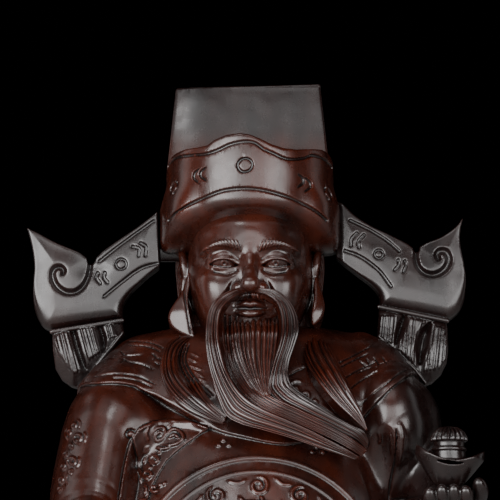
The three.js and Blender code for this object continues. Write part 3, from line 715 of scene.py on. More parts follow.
def trunk(g):
    """Robe, belly, shoulders, arms, sleeves and the shoulder cape."""
    z = g.z
    d, a = section(g, ROBE)
    bk, sd = ss(-0.2, 0.5, np.sin(a)), ss(0.35, 0.8, np.abs(np.cos(a)))
    skirt = ss(110, 40, z) * (0.35 + 0.65 * np.maximum(bk, sd))
    long = ss(245, 150, z) * bk
    d = d - 2.3 * skirt * np.cos(11 * a + 0.6 * np.sin(2 * a)) - 1.5 * long * np.cos(7 * a + 1.1)
    d = smax(d, 17 - z, 1.5)
    g.d[...] = smax(d, z - 274, 3.0)
    g.ball((3.5, -26, 157), (60, 45, 60), 9)
    high = g.z1[-1] > 215
    if high:
        low, = table(CAPE_EDGE, g.x1)
        wf = ss(12, -8, g.y)
        low = low[:, None, None] * wf + 243 * (1 - wf)
        c, b = section(g, CAPE)
        c = smax(smax(c, low - z, 1.6), z - 281.5, 1.0)
    k = 3.0 + 10.0 * ss(212, 238, z)
    limb(g, ARM_R, k)
    limb(g, ARM_L, k)
    if high:
        g.ball((-55, -27, 229), (17, 13, 13), 9)
        g.ball((76, -5, 231), (14, 16, 22), 7)
        g.chain([(62, -22, 226), (62.5, -13, 210), (63, 0, 190)], [11, 11.5, 11], 7)
        # deep gap between the belly and the sleeve
        e = g.blank()
        e.chain(spline([(61.5, -39, 224), (59.5, -35, 214), (60.5, -33, 203), (63, -36, 190)], 14), [3.0, 4.0, 5.0, 5.8, 6.4, 6.8, 7.0, 7.0, 7.0, 6.8, 6.4, 5.8, 5.0, 4.0], 1.0)
        g.cut(e, 3.0)
    sleeve(g, -1, 76, -54, 12, 16, 110, 183, 8.0)
    sleeve(g, 1, 87.5, -44, 14, 17, 106, 190, 8.0)
    if high:
        # the cape lies over the shoulders with a crisp lower edge
        over = smin(c, smax(g.d - 1.6, low - z, 1.1), 3.0)
        g.d[...] = smin(g.d, over, 0.9)


def head_mass(g):
    g.ball((0, 4, 308), (30, 36.5, 38), 0)
    g.ball((0, -4, 297), (27, 28.5, 26), 6)
    g.ball((0, -9, 281), (20.5, 22.5, 15), 9)
    g.ball((0, -11, 321), (24.5, 22.5, 13), 8)
    for s in (-1, 1):
        g.ball((s * 15, -18.5, 297.5), (10.5, 12.6, 7.6), 6)
        g.ball((s * 14.2, -23.2, 295.2), (8.4, 10.0, 7.6), 4.5)
        g.ball((s * 12.5, -20, 288), (9.5, 12, 9), 7)
        g.ball((s * 11.5, -25.5, 314.2), (10.5, 7.4, 3.4), 6, turn=(0, s * 8, 0))
    for s in (-1, 1):
        g.ball((s * 12.2, -36.2, 306.8), (8.0, 5.4, 4.8), 4.5, cut=True)
    g.chain([(0, 4, 285), (0, 6, 268)], 19, 6)


# ------------------------------------------------------------------ places on the plain masses
class Skin:
    def __init__(self, lo, hi, vox, fn):
        out, lo, _ = volume(lo, hi, vox, fn)
        pts, tris, quads = polygons(out, lo, vox)
        self.tree = BVHTree.FromPolygons([tuple(p) for p in pts.astype(float)],
                                         [tuple(map(int, t)) for t in tris] + [tuple(map(int, q)) for q in quads])

    def shoot(self, o, d):
        loc, nor, _, _ = self.tree.ray_cast(Vector(o), Vector(d))
        if loc is None:
            return None
        nor = np.array(nor)
        return np.array(loc), (-nor if nor @ d > 0 else nor)

    def seen(self, px, py):
        return self.shoot(*ray(px, py))

    def ahead(self, x, z):
        return self.shoot(np.array([x, -250.0, z]), np.array([0, 1.0, 0]))

    def behind(self, x, z):
        return self.shoot(np.array([x, 250.0, z]), np.array([0, -1.0, 0]))

    def side(self, s, y, z):
        return self.shoot(np.array([s * 250.0, y, z]), np.array([-s, 0, 0.0]))

    def path(self, pts, step=1.2, out=0.0, how="seen", smooth=True, closed=False):
        """The points of a line drawn on the surface, an even step apart."""
        pts = np.asarray(pts, float)
        if smooth and len(pts) > 2:
            pts = spline(pts, max(12, len(pts) * 8), closed)
            if closed:
                pts = np.vstack([pts, pts[:1]])
        scale = 0.476 if how == "seen" else 1.0
        pts = even(pts, step / scale)
        res = []
        for p in pts:
            h = getattr(self, how)(*p)
            if h is not None:
                res.append(h[0] + out * h[1])
        return np.array(res) if len(res) > 1 else np.zeros((0, 3))


def runs(pts, jump=4.0):
    """Splits a line where it jumps from one surface to another."""
    res, cur = [], []
    for p in pts:
        if cur and np.linalg.norm(p - cur[-1]) > jump:
            if len(cur) > 1:
                res.append(np.array(cur))
            cur = []
        cur.append(p)
    if len(cur) > 1:
        res.append(np.array(cur))
    return res


def taper(n, r, ends=0.35, share=0.2):
    t = np.linspace(0, 1, n)
    return r * (ends + (1 - ends) * np.clip(np.minimum(t, 1 - t) / share, 0, 1) ** 0.6)


body_skin = Skin((-98, -76, 20), (116, 66, 284), 2.4, trunk)
head_skin = Skin((-34, -46, 262), (34, 44, 348), 1.1, head_mass)

# ------------------------------------------------------------------ face and ears
rng = np.random.default_rng(7)
brow_strokes, temple = [], []
for s in (-1, 1):
    for i in range(12):
        t = i / 11
        x0, z0 = s * (4.4 + 15.6 * t), 310.6 + 3.4 * math.sin(math.pi * min(1, t * 1.05) * 0.62) - 1.8 * t * t
        ln = 7.2 * (1 - 0.3 * t) * (0.75 + 0.25 * math.sin(math.pi * min(1, t + 0.25)))
        ang = math.radians(72 - 56 * t)
        pts = [(x0 + s * ln * u * math.cos(ang), z0 + ln * u * math.sin(ang) - 1.3 * u * u) for u in (0, 0.35, 0.7, 1.0)]
        p = head_skin.path(pts, 0.7, 0.2, "ahead")
        if len(p):
            brow_strokes.append(p)


def face(g):
    head_mass(g)
    x, y, z = g.x, g.y, g.z
    # nose
    n = g.blank()
    n.chain([(0, -30.2, 312), (0, -33.0, 305.5), (0, -36.2, 299.5), (0, -38.2, 295.5)], [3.0, 2.5, 2.9, 3.8], 2.0)
    n.ball((0, -38.3, 294.3), (4.5, 4.6, 3.9), 1.8)
    for s in (-1, 1):
        n.ball((s * 5.3, -34.6, 292.9), (3.5, 4.6, 3.2), 1.5)
    g.add(n, 2.4)
    for s in (-1, 1):
        g.ball((s * 2.9, -37.6, 289.9), (1.7, 2.3, 1.3), 0.8, cut=True)
        # fold beside the nose, and the wing of the nose set off from the cheek
        f = g.blank()
        f.chain(spline([(s * 7.6, -33.6, 296.4), (s * 9.4, -33.2, 293), (s * 9.0, -33.6, 290.3)], 8), 0.45)
        g.cut(f, 1.6)
        f.d[...] = 30
        f.chain(spline([(s * 9.6, -33.4, 291.6), (s * 12.6, -32.6, 286.8), (s * 14.2, -30.6, 281.5)], 10), 0.4)
        g.cut(f, 2.6)
    # mouth: closed, level
    m = g.blank()
    m.ball((0, -27.0, 284.5), (10.5, 7.0, 7.0), 0)
    g.add(m, 3.0)
    m.d[...] = 30
    m.chain(spline([(-8.6, -31.4, 284.0), (-4.4, -34.2, 285.3), (-1.5, -35.2, 285.7), (0, -35.1, 285.2), (1.5, -35.2, 285.7),
                    (4.4, -34.2, 285.3), (8.6, -31.4, 284.0)], 20), [.5, .7, .9, 1.1, 1.2, 1.3, 1.4, 1.4, 1.3, 1.25] + [1.25, 1.3, 1.4, 1.4, 1.3, 1.2, 1.1, .9, .7, .5], 0.4)
    m.chain(spline([(-7.0, -32.2, 282.6), (-3.5, -34.4, 281.4), (0, -35.1, 280.9), (3.5, -34.4, 281.4), (7.0, -32.2, 282.6)], 16),
            [.5, .8, 1.1, 1.35, 1.5, 1.6, 1.7, 1.75, 1.75, 1.7, 1.6, 1.5, 1.35, 1.1, .8, .5], 0.3)
    g.add(m, 0.8)
    f = g.blank()
    f.chain(spline([(-9.4, -31.2, 284.3), (-5, -34.8, 283.6), (0, -36.4, 283.3), (5, -34.8, 283.6), (9.4, -31.2, 284.3)], 20), 0.28)
    g.cut(f, 0.5)
    f.d[...] = 30
    f.chain([(0, -35.6, 289.4), (0, -35.6, 287.6)], 0.7)
    g.cut(f, 1.4)
    g.ball((0, -26.5, 271.5), (8.6, 8.4, 6.4), 4.0)
    # eyes: the lids are shells on the eyeball, half lowered
    for s in (-1, 1):
        e = g.part((min(s * 2, s * 24), -40, 296), (max(s * 2, s * 24), -14, 317))
        if e is None:
            continue
        dx = s * (e.x - s * 12.0)
        rise = 0.35 * dx / 6
        up = 304.9 + 1.9 * (1 - (dx / 6.6) ** 2) + rise
        lo = 304.7 - 1.1 * (1 - (dx / 6.6) ** 2) + rise
        lid = e.ball_d((s * 12, -24.9, 306.0), (8.6, 7.6, 7.0))
        slit = np.maximum((e.z - up), (lo - e.z)) * 0.9
        slit = np.maximum(slit, np.abs(dx) - 6.8)
        shell = smax(lid, -slit, 0.9)
        e.d[...] = smin(e.d, shell, 1.0)
        e.d[...] = smax(e.d, -np.maximum(slit, -lid - 1.7), 0.8)
        eye = e.ball_d((s * 12, -24.7, 309.2), (8.2, 7.1, 8.0))
        pupil = np.sqrt((e.x - s * 12) ** 2 + (e.z - 305.3) ** 2)
        eye = eye + 0.3 * np.exp(-((pupil - 1.9) / 0.32) ** 2) + 0.45 * ss(0.95, 0.4, pupil)
        e.d[...] = smin(e.d, eye, 0.15)
        f = g.blank()
        f.chain(spline([(s * 5.4, -31.4, 307.2), (s * 8.4, -32.6, 309.9), (s * 12, -32.6, 310.9), (s * 16, -31.2, 310.2), (s * 19.6, -28.4, 307.8)], 20),
                [.2] + [.34] * 18 + [.2])
        g.cut(f, 0.7)
        f.d[...] = 30
        f.chain(spline([(s * 6.8, -32.0, 301.8), (s * 11, -32.0, 300.4), (s * 16.2, -30.2, 301.4)], 12), 0.1)
        g.cut(f, 2.6)
    # brows
    b = g.blank()
    for p in brow_strokes:
        b.chain(p, taper(len(p), 0.56, 0.25, 0.35))
    g.add(b, 0.12)
    # ears
    for s in (-1, 1):
        e = g.blank()
        e.ball((s * 30.2, 3.2, 301), (3.4, 8.0, 15.5), 0, turn=(-8, 0, 0))
        e.ball((s * 30.4, -0.6, 284.5), (3.6, 5.0, 7.6), 2.5)
        e.chain(spline([(s * 30.2, -3.6, 303), (s * 31.4, -4.4, 309), (s * 32.4, -1, 315.2), (s * 33.6, 5.5, 316), (s * 34, 10.4, 309.5),
                        (s * 33.2, 10.4, 300), (s * 32.4, 7.4, 292.5), (s * 31.8, 3.4, 286)], 40), 1.5, 1.0)
        e.chain(spline([(s * 32, 1.4, 311), (s * 33.2, 5.6, 308), (s * 33, 6.2, 301), (s * 32.2, 3.2, 295), (s * 31.2, -2.2, 295)], 24), 1.2, 0.8)
        e.chain([(s * 31, -4.4, 301.5), (s * 31.4, -4.6, 297)], 1.7, 0.8)
        e.ball((s * 33.2, 1.2, 300.6), (2.2, 3.0, 4.4), 1.2, cut=True)
        g.add(e, 1.6)


# ------------------------------------------------------------------ hair
class Strands:
    """Closed ribbed ribbons between two edge lines drawn on the picture plane with depths."""

    def __init__(self):
        self.v, self.t, self.q, self.n = [], [], [], 0

    def push(self, rings, caps=True):
        steps, m = rings.shape[:2]
        base = self.n
        self.v.append(rings.reshape(-1, 3))
        i, j = np.meshgrid(np.arange(steps - 1), np.arange(m), indexing="ij")
        a = base + i * m + j
        b = base + i * m + (j + 1) % m
        self.q.append(np.stack([a, b, b + m, a + m], -1).reshape(-1, 4))
        self.n += steps * m
        self.v.append(np.stack([rings[0].mean(0), rings[-1].mean(0)]))
        c0, c1 = self.n, self.n + 1
        self.n += 2
        k = np.arange(m)
        self.t.append(np.stack([base + (k + 1) % m, base + k, np.full(m, c0)], 1))
        e = base + (steps - 1) * m
        self.t.append(np.stack([e + k, e + (k + 1) % m, np.full(m, c1)], 1))

    def lock(self, A, B, n, bulge, back=2.5, ridge=0.6, steps=70, seed=1, world=False, face=None, clump=0.25, steep=0.78):
        rs = np.random.default_rng(seed)
        a, b = spline(A, steps), spline(B, steps)
        if not world:
            a, b = np.array([at(*p) for p in a]), np.array([at(*p) for p in b])
        mid, half = (a + b) / 2, (b - a) / 2
        w = np.maximum(np.linalg.norm(half, axis=1), 0.05)
        tan = np.gradient(mid, axis=0)
        lat = half / w[:, None]
        nor = np.cross(tan, lat)
        nor /= np.linalg.norm(nor, axis=1)[:, None] + 1e-9
        toward = -FWD if face is None else np.asarray(face, float)
        nor *= np.where(nor @ toward < 0, -1, 1)[:, None]
        t = np.linspace(0, 1, steps)
        h = np.interp(t, np.linspace(0, 1, len(bulge)), bulge)[:, None]
        jit = np.concatenate([[0], rs.uniform(-0.28, 0.28, n - 1), [0]])
        lift = rs.uniform(-0.3, 0.3, n)
        v = (np.arange(n + 1) + jit) / n
        k = np.repeat(np.arange(n), 8)
        u = np.tile(np.arange(8) / 8, n)
        s = v[k] + (v[k + 1] - v[k]) * u
        k, u, s = np.append(k, n - 1), np.append(u, 1.0), np.append(s, 1.0)
        valley = np.where(u < 0.5, k, k + 1)
        deep = 0.85 + 0.15 * np.sin(rs.uniform(0, 6.3, n + 1)[None, :] + t[:, None] * rs.uniform(3, 9, n + 1)[None, :])
        deep *= rs.uniform(0.85, 1.15, n + 1)[None, :]
        pitch = 2 * w / n
        dep = np.minimum(ridge, steep * pitch)[:, None] * deep[:, valley] * (1 - np.sin(np.pi * u)[None, :] ** 0.92)
        dep = dep - np.minimum(1, pitch)[:, None] * (lift[k] * np.sin(np.pi * u))[None, :]
        low = clump * np.minimum(1, pitch / 1.0)[:, None] * np.sin(2 * np.pi * (s[None, :] * n / 4.3 + 0.7 * t[:, None] + rs.uniform()))
        phi = np.pi * s
        L, O = -np.cos(phi)[None, :], np.sin(phi)[None, :] ** 0.8
        hh = np.maximum(h, 0.05)
        nl, no = L / np.maximum(w[:, None], 0.3), O / hh
        m = np.sqrt(nl ** 2 + no ** 2)
        nl, no = nl / m, no / m
        disp = low - dep
        lateral = L * w[:, None] + nl * disp
        out = O * hh + no * disp
        front = mid[:, None, :] + lat[:, None, :] * lateral[..., None] + nor[:, None, :] * out[..., None]
        sb = np.linspace(1, 0, 8)[1:-1]
        bk = back * np.minimum(1, w / 3)[:, None]
        rear = mid[:, None, :] + lat[:, None, :] * (-np.cos(np.pi * sb)[None, :] * w[:, None])[..., None] \
            - nor[:, None, :] * (np.sin(np.pi * sb)[None, :] * bk)[..., None]
        self.push(np.concatenate([front, rear], 1))

    def mesh(self, name):
        return mesh_from(name, np.vstack(self.v), np.vstack(self.t), np.vstack(self.q))


beard = Strands()
# long side bundles from under the nose, round the mouth, down and off to the figure's left
OUT1 = [(244.5, 288.8, -38.4), (235.5, 289.4, -40), (226, 293.2, -41.4), (216.5, 300, -42.4), (210, 311, -44), (207.5, 327, -46), (207, 345, -47), (208.5, 362, -48.5), (212.5, 380, -50.5),
        (218.5, 398, -53), (227, 416, -55.5), (241, 424, -58), (263, 430, -60), (291, 438, -61), (319, 447.5, -60), (340, 454.5, -58), (355, 459.5, -55.5)]
IN1 = [(248.8, 291.4, -38.4), (243, 293.0, -40.4), (236, 296.4, -42.4), (229, 301.5, -44), (222, 311, -46.5), (219.5, 326, -49), (221, 344, -50.5), (224.5, 361, -51.5), (230, 376, -53),
       (238.5, 390, -55.5), (250, 401, -58), (265, 410, -60), (285, 418.5, -61.5), (308, 428.5, -62), (331, 440, -61), (347, 448.5, -59), (360, 456.5, -56)]
beard.lock(OUT1, IN1, 6, [0.8, 1.8, 2.8, 3.6, 3.6, 3.2, 2.6, 2.0, 1.2], back=6, seed=3, steps=124, ridge=2.0)
beard.lock([(227, 333, -40), (224, 352, -44), (227, 370, -47.5), (235, 386, -51.5), (246, 399, -55.5), (262, 409.5, -58.5), (283, 418.5, -60),
            (306, 428, -60.5), (330, 439, -59.5), (347, 448, -57.5), (361, 456.5, -54.5)],
           [(240, 340, -38), (240, 358, -41.5), (245, 372, -44.5), (254, 384, -48.5), (265, 394, -54), (280, 401.5, -58.5), (299, 410, -60),
            (320, 419.5, -60.5), (340, 430.5, -59), (355, 440, -57), (367, 449, -53.5)],
           9, [0.6, 1.8, 2.4, 2.2, 2.0, 1.7, 1.1], back=8, seed=5, steps=90, ridge=2.0)
beard.lock([(256.5, 288.8, -38.4), (266, 289.4, -40), (278, 292.6, -41.4), (289.5, 303, -43), (296.5, 318, -45), (297.5, 332, -46.5), (293.5, 346, -47.5), (289, 360, -48.5), (287.5, 375, -50),
            (293, 387, -51), (305, 396.5, -54), (320, 406, -56.5), (337, 417.5, -57), (352, 425.5, -56), (363.5, 432, -54.5), (368.5, 441, -52.5)],
           [(252.2, 291.4, -38.4), (258, 293.0, -40.4), (266, 295.4, -42.4), (274.5, 302, -44.5), (279, 313, -47), (280, 328, -49), (277, 344, -50.5), (272, 360, -51.5), (268, 377, -53),
            (267.5, 391, -54), (277, 402.5, -57.5), (298, 413, -60.5), (321, 423, -61.5), (342, 433, -60.5), (356, 440, -58), (366, 449.5, -54)],
           6, [0.8, 1.8, 2.8, 3.6, 3.6, 3.2, 2.6, 2.0, 1.2], back=7, seed=11, steps=118, ridge=2.0)
# middle beard from the chin
beard.lock([(232, 319, -31), (231, 326, -40), (231.5, 335, -44.5), (233.5, 350, -46.5), (239, 367, -48.5), (247, 383, -51.5), (257.5, 396, -55), (264, 402, -57)],
           [(281, 319, -31), (281, 326, -40), (281, 335, -44.5), (279, 350, -46.5), (276, 367, -48.5), (273.5, 383, -51.5), (271, 395, -55), (268.5, 402, -57)],
           14, [0.6, 2.6, 4.0, 4.4, 4.4, 4.0, 2.6, 0.8], back=14, seed=17, steps=76, ridge=2.0)
# recessed strands beside the middle beard
beard.lock([(217, 312, -32), (217, 332, -40), (220, 352, -42.5), (227, 370, -44.5), (238, 388, -48)],
           [(239, 317, -32), (239, 336, -40.5), (240, 354, -43), (246, 372, -45.5), (254, 392, -49)],
           5, [0.5, 1.8, 2.0, 1.6, 1.0], back=9, seed=23, steps=40, ridge=1.4)
beard.lock([(295, 312, -32), (293, 332, -40), (287, 350, -42.5), (282, 368, -44.5), (282, 388, -48)],
           [(273, 317, -32), (274, 336, -40.5), (272, 354, -43), (269, 372, -45.5), (268, 392, -49)],
           5, [0.5, 1.8, 2.0, 1.6, 1.0], back=9, seed=29, steps=40, ridge=1.4)
# short hairs combed down over the upper lip
for sd in (-1, 1):
    c = 250.5
    beard.lock([(c + sd * 0.3, 290.6, -36.6), (c + sd * 0.8, 294.0, -37.6), (c + sd * 1.8, 298.0, -37.0)],
               [(c + sd * 14.0, 292.6, -37.4), (c + sd * 16.2, 297.2, -37.6), (c + sd * 19.5, 302.6, -36.0)],
               8, [0.5, 0.9, 0.8, 0.3], back=2.5, seed=33 + sd, steps=26, ridge=1.2, clump=0.05)
# locks from behind the ears, over the shoulders
def over(pts, out):
    """The same points brought forward until they lie on the cloth."""
    res = []
    for px, py, y in pts:
        h = body_skin.seen(px, py)
        res.append((px, py, min(y, (h[0] + out * h[1])[1]) if h else y))
    return res


beard.lock(over([(174, 338, -6), (166, 349, -16), (161.5, 363, -29), (163, 382, -38.5), (172, 399, -45), (187, 411, -50), (205, 419.5, -53.5), (223, 424.5, -55.5)], 0.6),
           over([(190, 338, -7), (181, 349, -17), (177, 362, -30), (180, 377, -40), (190.5, 391, -46.5), (203, 401.5, -51.5), (214.5, 411, -54.5), (225, 421, -56)], 0.6),
           6, [1.2, 3.8, 5.4, 5.6, 5.0, 3.6, 1.4], back=7, seed=41, steps=80, ridge=2.6, steep=1.0)
beard.lock(over([(186, 383, -42), (194, 396, -47), (207, 409.5, -52), (225, 421.5, -56)], 0.5),
           over([(200, 382, -42), (206, 393, -47), (215, 404, -52), (227, 416, -56)], 0.5), 4, [0.6, 2.0, 2.2, 1.0], back=3, seed=47, steps=50, ridge=2.0, steep=1.0)
beard.lock([(307, 334, -7), (302.5, 348, -20), (303.5, 362, -31), (313, 379, -40), (329.5, 399, -47), (350, 417.5, -51), (366, 431, -52)],
           [(326, 334, -5), (331, 349, -18), (338, 366, -29), (346.5, 383, -37.5), (354.5, 400, -44), (362, 415, -48.5), (367.5, 430, -51.5)],
           8, [1.4, 4.2, 6.0, 6.4, 5.6, 3.6, 0.8], back=8, seed=43, steps=76, ridge=2.0)

# ------------------------------------------------------------------ dress: relief drawn on the surface
BODY_CUTS, BODY_BEADS, SOFT = [], [], []     # (points, radius) engraved, raised, softly raised


def groove(pts, r=0.5, out=0.0, how="seen", step=1.2):
    for deep in (-0.05, -0.4):
        for p in runs(body_skin.path(pts, step, out + deep, how)):
            BODY_CUTS.append((p, taper(len(p), r * (0.9 if deep < 0 else 1.0), 0.5, 0.12)))


def bead(pts, r=0.9, out=-0.1, how="seen", step=1.0, ends=0.35, share=0.15):
    for p in runs(body_skin.path(pts, step, out, how)):
        BODY_BEADS.append((p, taper(len(p), r, ends, share)))


def swell(pts, r=3.0, out=-1.0, how="seen", step=2.5, ends=0.3, share=0.3):
    for p in runs(body_skin.path(pts, step, out, how), 9.0):
        SOFT.append((p, taper(len(p), r, ends, share)))


def curl(cx, cy, r, a0, turns, grow=0.25):
    """A spiral seen in the frame: centre, outer radius (px), start angle (deg), turns (sign = direction)."""
    n = max(8, int(abs(turns) * 14))
    res = []
    for i in range(n + 1):
        t = i / n
        a = math.radians(a0) + turns * 2 * math.pi * t
        q = r * (1 - (1 - grow) * t)
        res.append((cx + q * math.cos(a), cy + q * math.sin(a)))
    return res


# collar band of the cape, viewer's left
for l in ([(124, 341), (139, 341), (153, 343), (163, 348)], [(128, 345), (142, 345.5), (152, 347.5), (160, 351.5)],
          [(92, 377.5), (99, 375.5), (110.5, 373.6), (123, 373.6), (139, 376), (155, 384)], [(112, 378), (126, 378), (140, 381), (152, 387)]):
    groove(l, 0.46)
# viewer's right
for l in ([(335.7, 364), (355.4, 354.5), (371, 345.4)], [(339, 367.5), (356, 359), (368, 353)], [(342, 379.5), (355.4, 371.6), (377, 360.5)],
          [(350.5, 388.5), (365, 377.5), (378, 370.5)], [(358, 406), (373.6, 393), (389, 381.5), (399, 373.5), (412, 367)]):
    groove(l, 0.46)
# square frets between the lines
for l in ([(120.5, 350.5), (124, 354.5), (142, 354.5)], [(124, 354.5), (121, 358)], [(121, 363), (124, 358.5), (127.5, 361), (140, 363.5), (153, 369)],
          [(151.5, 353), (156, 357), (152.5, 360)], [(156, 357), (160.5, 359.5)], [(154.5, 362), (159, 365)],
          [(360, 361), (365.5, 366), (361, 369.5)], [(366.5, 358.5), (371, 366.5)], [(373.5, 357.5), (378.5, 364.5), (374.5, 368)], [(382, 356.5), (387.5, 364.5)],
          [(356, 373.5), (371, 366.5)], [(379, 364), (390, 360)]):
    groove(l, 0.42)
# inner robe beside the beard: edge band and angular frets
for i, (dx, dy) in enumerate(((0, 0), (3.2, -1.6), (6.2, -3.4))):
    groove([(183 + dx, 344), (179 + dx, 358), (183.5 + dx, 373 + dy), (194 + dx, 387 + dy), (207 + dx, 399 + dy)], 0.62)
for l in ([(190.5, 352.5), (199, 357)], [(187, 357), (196.5, 362)], [(187, 365), (201, 369.5)], [(192.5, 370.5), (203, 377)], [(189, 380), (196, 378), (205, 381)],
          [(195, 384), (201, 389), (208, 395.5)]):
    bead(l, 0.5, 0.0)
groove([(289, 376), (296, 371), (304, 368)], 0.6)
bead([(289, 385), (295, 381), (302, 382)], 0.9)
for cx, cy, r, a0 in ((296, 390, 4.2, 30), (306, 396, 4.2, 200), (315, 402.5, 3.6, 20), (303, 404, 3, 120)):
    bead(curl(cx, cy, r, a0, 1.2), 0.75, 0.0)
swell([(322, 407), (331, 413), (341, 420), (352, 427)], 1.9, -0.3)
# outer cloth: a raised layer whose edge sweeps round the belly, with scrolling clouds on it
EDGE = [(209.5, 428.5), (203, 432), (194, 438.5), (183, 446.5), (174, 454), (166, 461.5), (157, 476), (150.5, 490), (146, 506), (143, 525)]
OUTER = EDGE + [(134, 525), (134, 505), (138, 480), (139, 462), (135, 448), (132.5, 438), (139, 428), (153, 421.5), (172, 421), (192, 424)]
swell([(160, 423.5), (174, 424.5), (190, 426), (206, 428)], 2.1, 1.0, ends=0.35, share=0.6)
for cx, cy, r, a0, tn in ((159, 436, 8.6, -165, 1.6), (169, 427, 4.3, 180, 1.1), (157, 462, 5.2, 110, 1.5), (150.5, 477, 4.9, 90, 1.45),
                          (156, 490.5, 4.2, 20, 1.0), (146, 505, 5.0, 80, 1.4), (137, 512, 4.4, -80, -1.2), (146.5, 449, 4.0, -60, -1.2)):
    bead(curl(cx, cy, r, a0, tn), 0.8, 1.85)
for l in ([(166, 437), (170, 433), (176, 431.5), (182, 434.5), (184.5, 440), (180, 445), (172, 447.5), (165, 447)], [(170, 440), (175.5, 437), (180, 440)],
          [(158, 449), (165, 451), (172, 449.5)], [(147, 426.5), (144, 433), (147, 440)], [(136, 431), (143, 427), (151, 424.5)],
          [(146, 466), (148, 459)], [(141, 470), (144, 477), (143, 485)], [(146.5, 486), (149, 491), (147, 497)], [(163, 452), (160, 456)], [(154, 469), (150, 471.5)]):
    bead(l, 0.78, 1.85)
bead([(131, 434), (131.6, 434.2)], 1.5, 0.1, ends=1)
groove(curl(131, 434, 4.4, 60, 0.8, 1.0), 0.6)
# inside of the near sleeve, viewer's left
groove([(131.5, 438), (128, 449), (125, 462), (121.5, 480), (119, 498), (118, 514), (119, 535)], 0.9, -0.3)
swell([(140, 449), (138.5, 458), (135, 471), (131, 486), (128, 500), (127, 516), (127, 534)], 3.2, -0.9)
bead([(138.5, 449), (141, 455.5)], 0.8, 0.2)
bead([(139, 457), (136.5, 468), (134, 481), (132, 497), (131, 520)], 1.5, 0.5)
for cx, cy, r, a0, tn in ((78.5, 438.5, 5.6, 60, 1.45), (75, 426, 3.2, 90, 1.2), (70, 433, 3.0, -60, -1.2), (71.5, 446, 2.8, 40, 1.2),
                          (72.5, 462, 5.4, 120, 1.45), (66, 455, 2.8, -90, -1.2), (64, 466.5, 3.2, 60, 1.3), (71, 472.5, 2.6, -20, -1.1),
                          (62, 480, 3.4, 90, 1.2), (60, 490, 2.6, -60, -1.2)):
    bead(curl(cx, cy, r, a0, tn), 0.75, 0.05)
for l in ([(77, 419.5), (80, 423), (79, 429)], [(84, 432), (86, 437), (84.5, 443)], [(66.5, 428), (65.5, 434), (67.5, 440)], [(78.5, 457), (79.5, 463), (76, 468)],
          [(68, 474), (66.5, 480), (67.5, 485)]):
    bead(l, 0.7, 0.05)
# small knobs on the plain cloth of the belly
for x, y in ((218.5, 445.5), (223.5, 440.5), (229, 445.5), (160.5, 485.5), (164.5, 484), (312, 452), (317, 447.5), (322.5, 452.5)):
    h = body_skin.seen(x, y)
    if h:
        BODY_BEADS.append((np.array([h[0], h[0] + [0.02, 0, 0]]), np.array([1.15, 1.15])))
# round panel on the belly: two rims, waves and clouds inside
RX, RZ, RR = ROUND


def disc(u, v):
    """A place on the round panel: polar radius 0..1 and angle (deg, 0 = up, clockwise seen from the front)."""
    return RX + RR * u * math.sin(math.radians(v)), RZ + RR * u * math.cos(math.radians(v))


bead([disc(1.0, a) for a in range(0, 360, 8)] + [disc(1.0, 0)], 1.7, -0.2, "ahead", ends=1, share=0.01)
bead([disc(0.885, a) for a in range(0, 360, 8)] + [disc(0.885, 0)], 0.85, -0.1, "ahead", ends=1, share=0.01)


def disc_curl(u, v, r, a0, tn, w=1.0):
    cx, cz = disc(u, v)
    bead([(x, z) for x, z in curl(cx, cz, r, a0, tn)], w, 0.1, "ahead", step=0.9)


for i in range(14):
    a = i * 360 / 14
    disc_curl(0.76, a, 4.6, 90 - a, 1.35 if i % 2 else -1.35, 0.9)
    bead([disc(0.84, a + 9), disc(0.80, a + 14), disc(0.82, a + 19)], 0.8, 0.1, "ahead")
# a coiled water dragon in plain swirls: body, back fins, claws of cloud
COIL = [disc(0.60, -120), disc(0.62, -80), disc(0.58, -40), disc(0.60, -5), disc(0.56, 30), disc(0.50, 65), disc(0.40, 100), disc(0.30, 140),
        disc(0.26, 190), disc(0.32, 240), disc(0.30, 290), disc(0.18, 330), disc(0.06, 20)]
bead(COIL, 3.0, -0.6, "ahead", step=1.6, ends=0.4, share=0.3)
coil = spline(COIL, 60)
for i in range(4, 56, 2):
    t = coil[i + 1] - coil[i - 1]
    nrm = np.array([-t[1], t[0]]) / (np.linalg.norm(t) + 1e-6)
    bead([coil[i] + nrm * 2.4, coil[i] + nrm * 4.6 - t * 0.25], 0.8, 0.3, "ahead", step=0.8)
for u, v, r, a0, tn in ((0.48, -100, 4.0, 0, 1.3), (0.42, -50, 4.0, 90, -1.3), (0.42, 5, 4.2, 180, 1.3), (0.66, 55, 3.6, 0, -1.2), (0.62, 100, 4.0, 20, 1.3),
                        (0.55, 140, 4.2, -60, -1.3), (0.55, 180, 4.2, 60, 1.3), (0.55, 215, 4.0, -90, -1.3), (0.12, 150, 3.6, 0, 1.3)):
    disc_curl(u, v, r, a0, tn, 0.9)
# apron below the round panel, with clouds at its corners and along the front of the hem
for k in (-1, 1):
    bead([(RX + k * 17, 97.5), (RX + k * 20, 80), (RX + k * 21.5, 60), (RX + k * 21.5, 42.5)], 1.0, -0.1, "ahead", ends=1, share=0.01)
    bead([(RX + k * 12.5, 95.5), (RX + k * 15, 80), (RX + k * 16.5, 60), (RX + k * 16.5, 47.5)], 0.6, -0.05, "ahead", ends=1, share=0.01)
    for cx, cz, r, a0, tn in ((10, 53, 4.6, 180, 1.4), (10.5, 62.5, 3.4, 200, 1.2), (34, 50, 5.0, 0, -1.4), (44, 47, 4.0, 180, 1.3), (38, 59, 3.6, 60, -1.3)):
        bead([(RX + k * (x - 0), z) for x, z in curl(cx, cz, r, a0, tn)], 0.85, 0.05, "ahead", step=0.9)
bead([(RX - 21.5, 42.5), (RX - 10, 41.5), (RX, 41.2), (RX + 10, 41.5), (RX + 21.5, 42.5)], 1.0, -0.1, "ahead", ends=1, share=0.01)
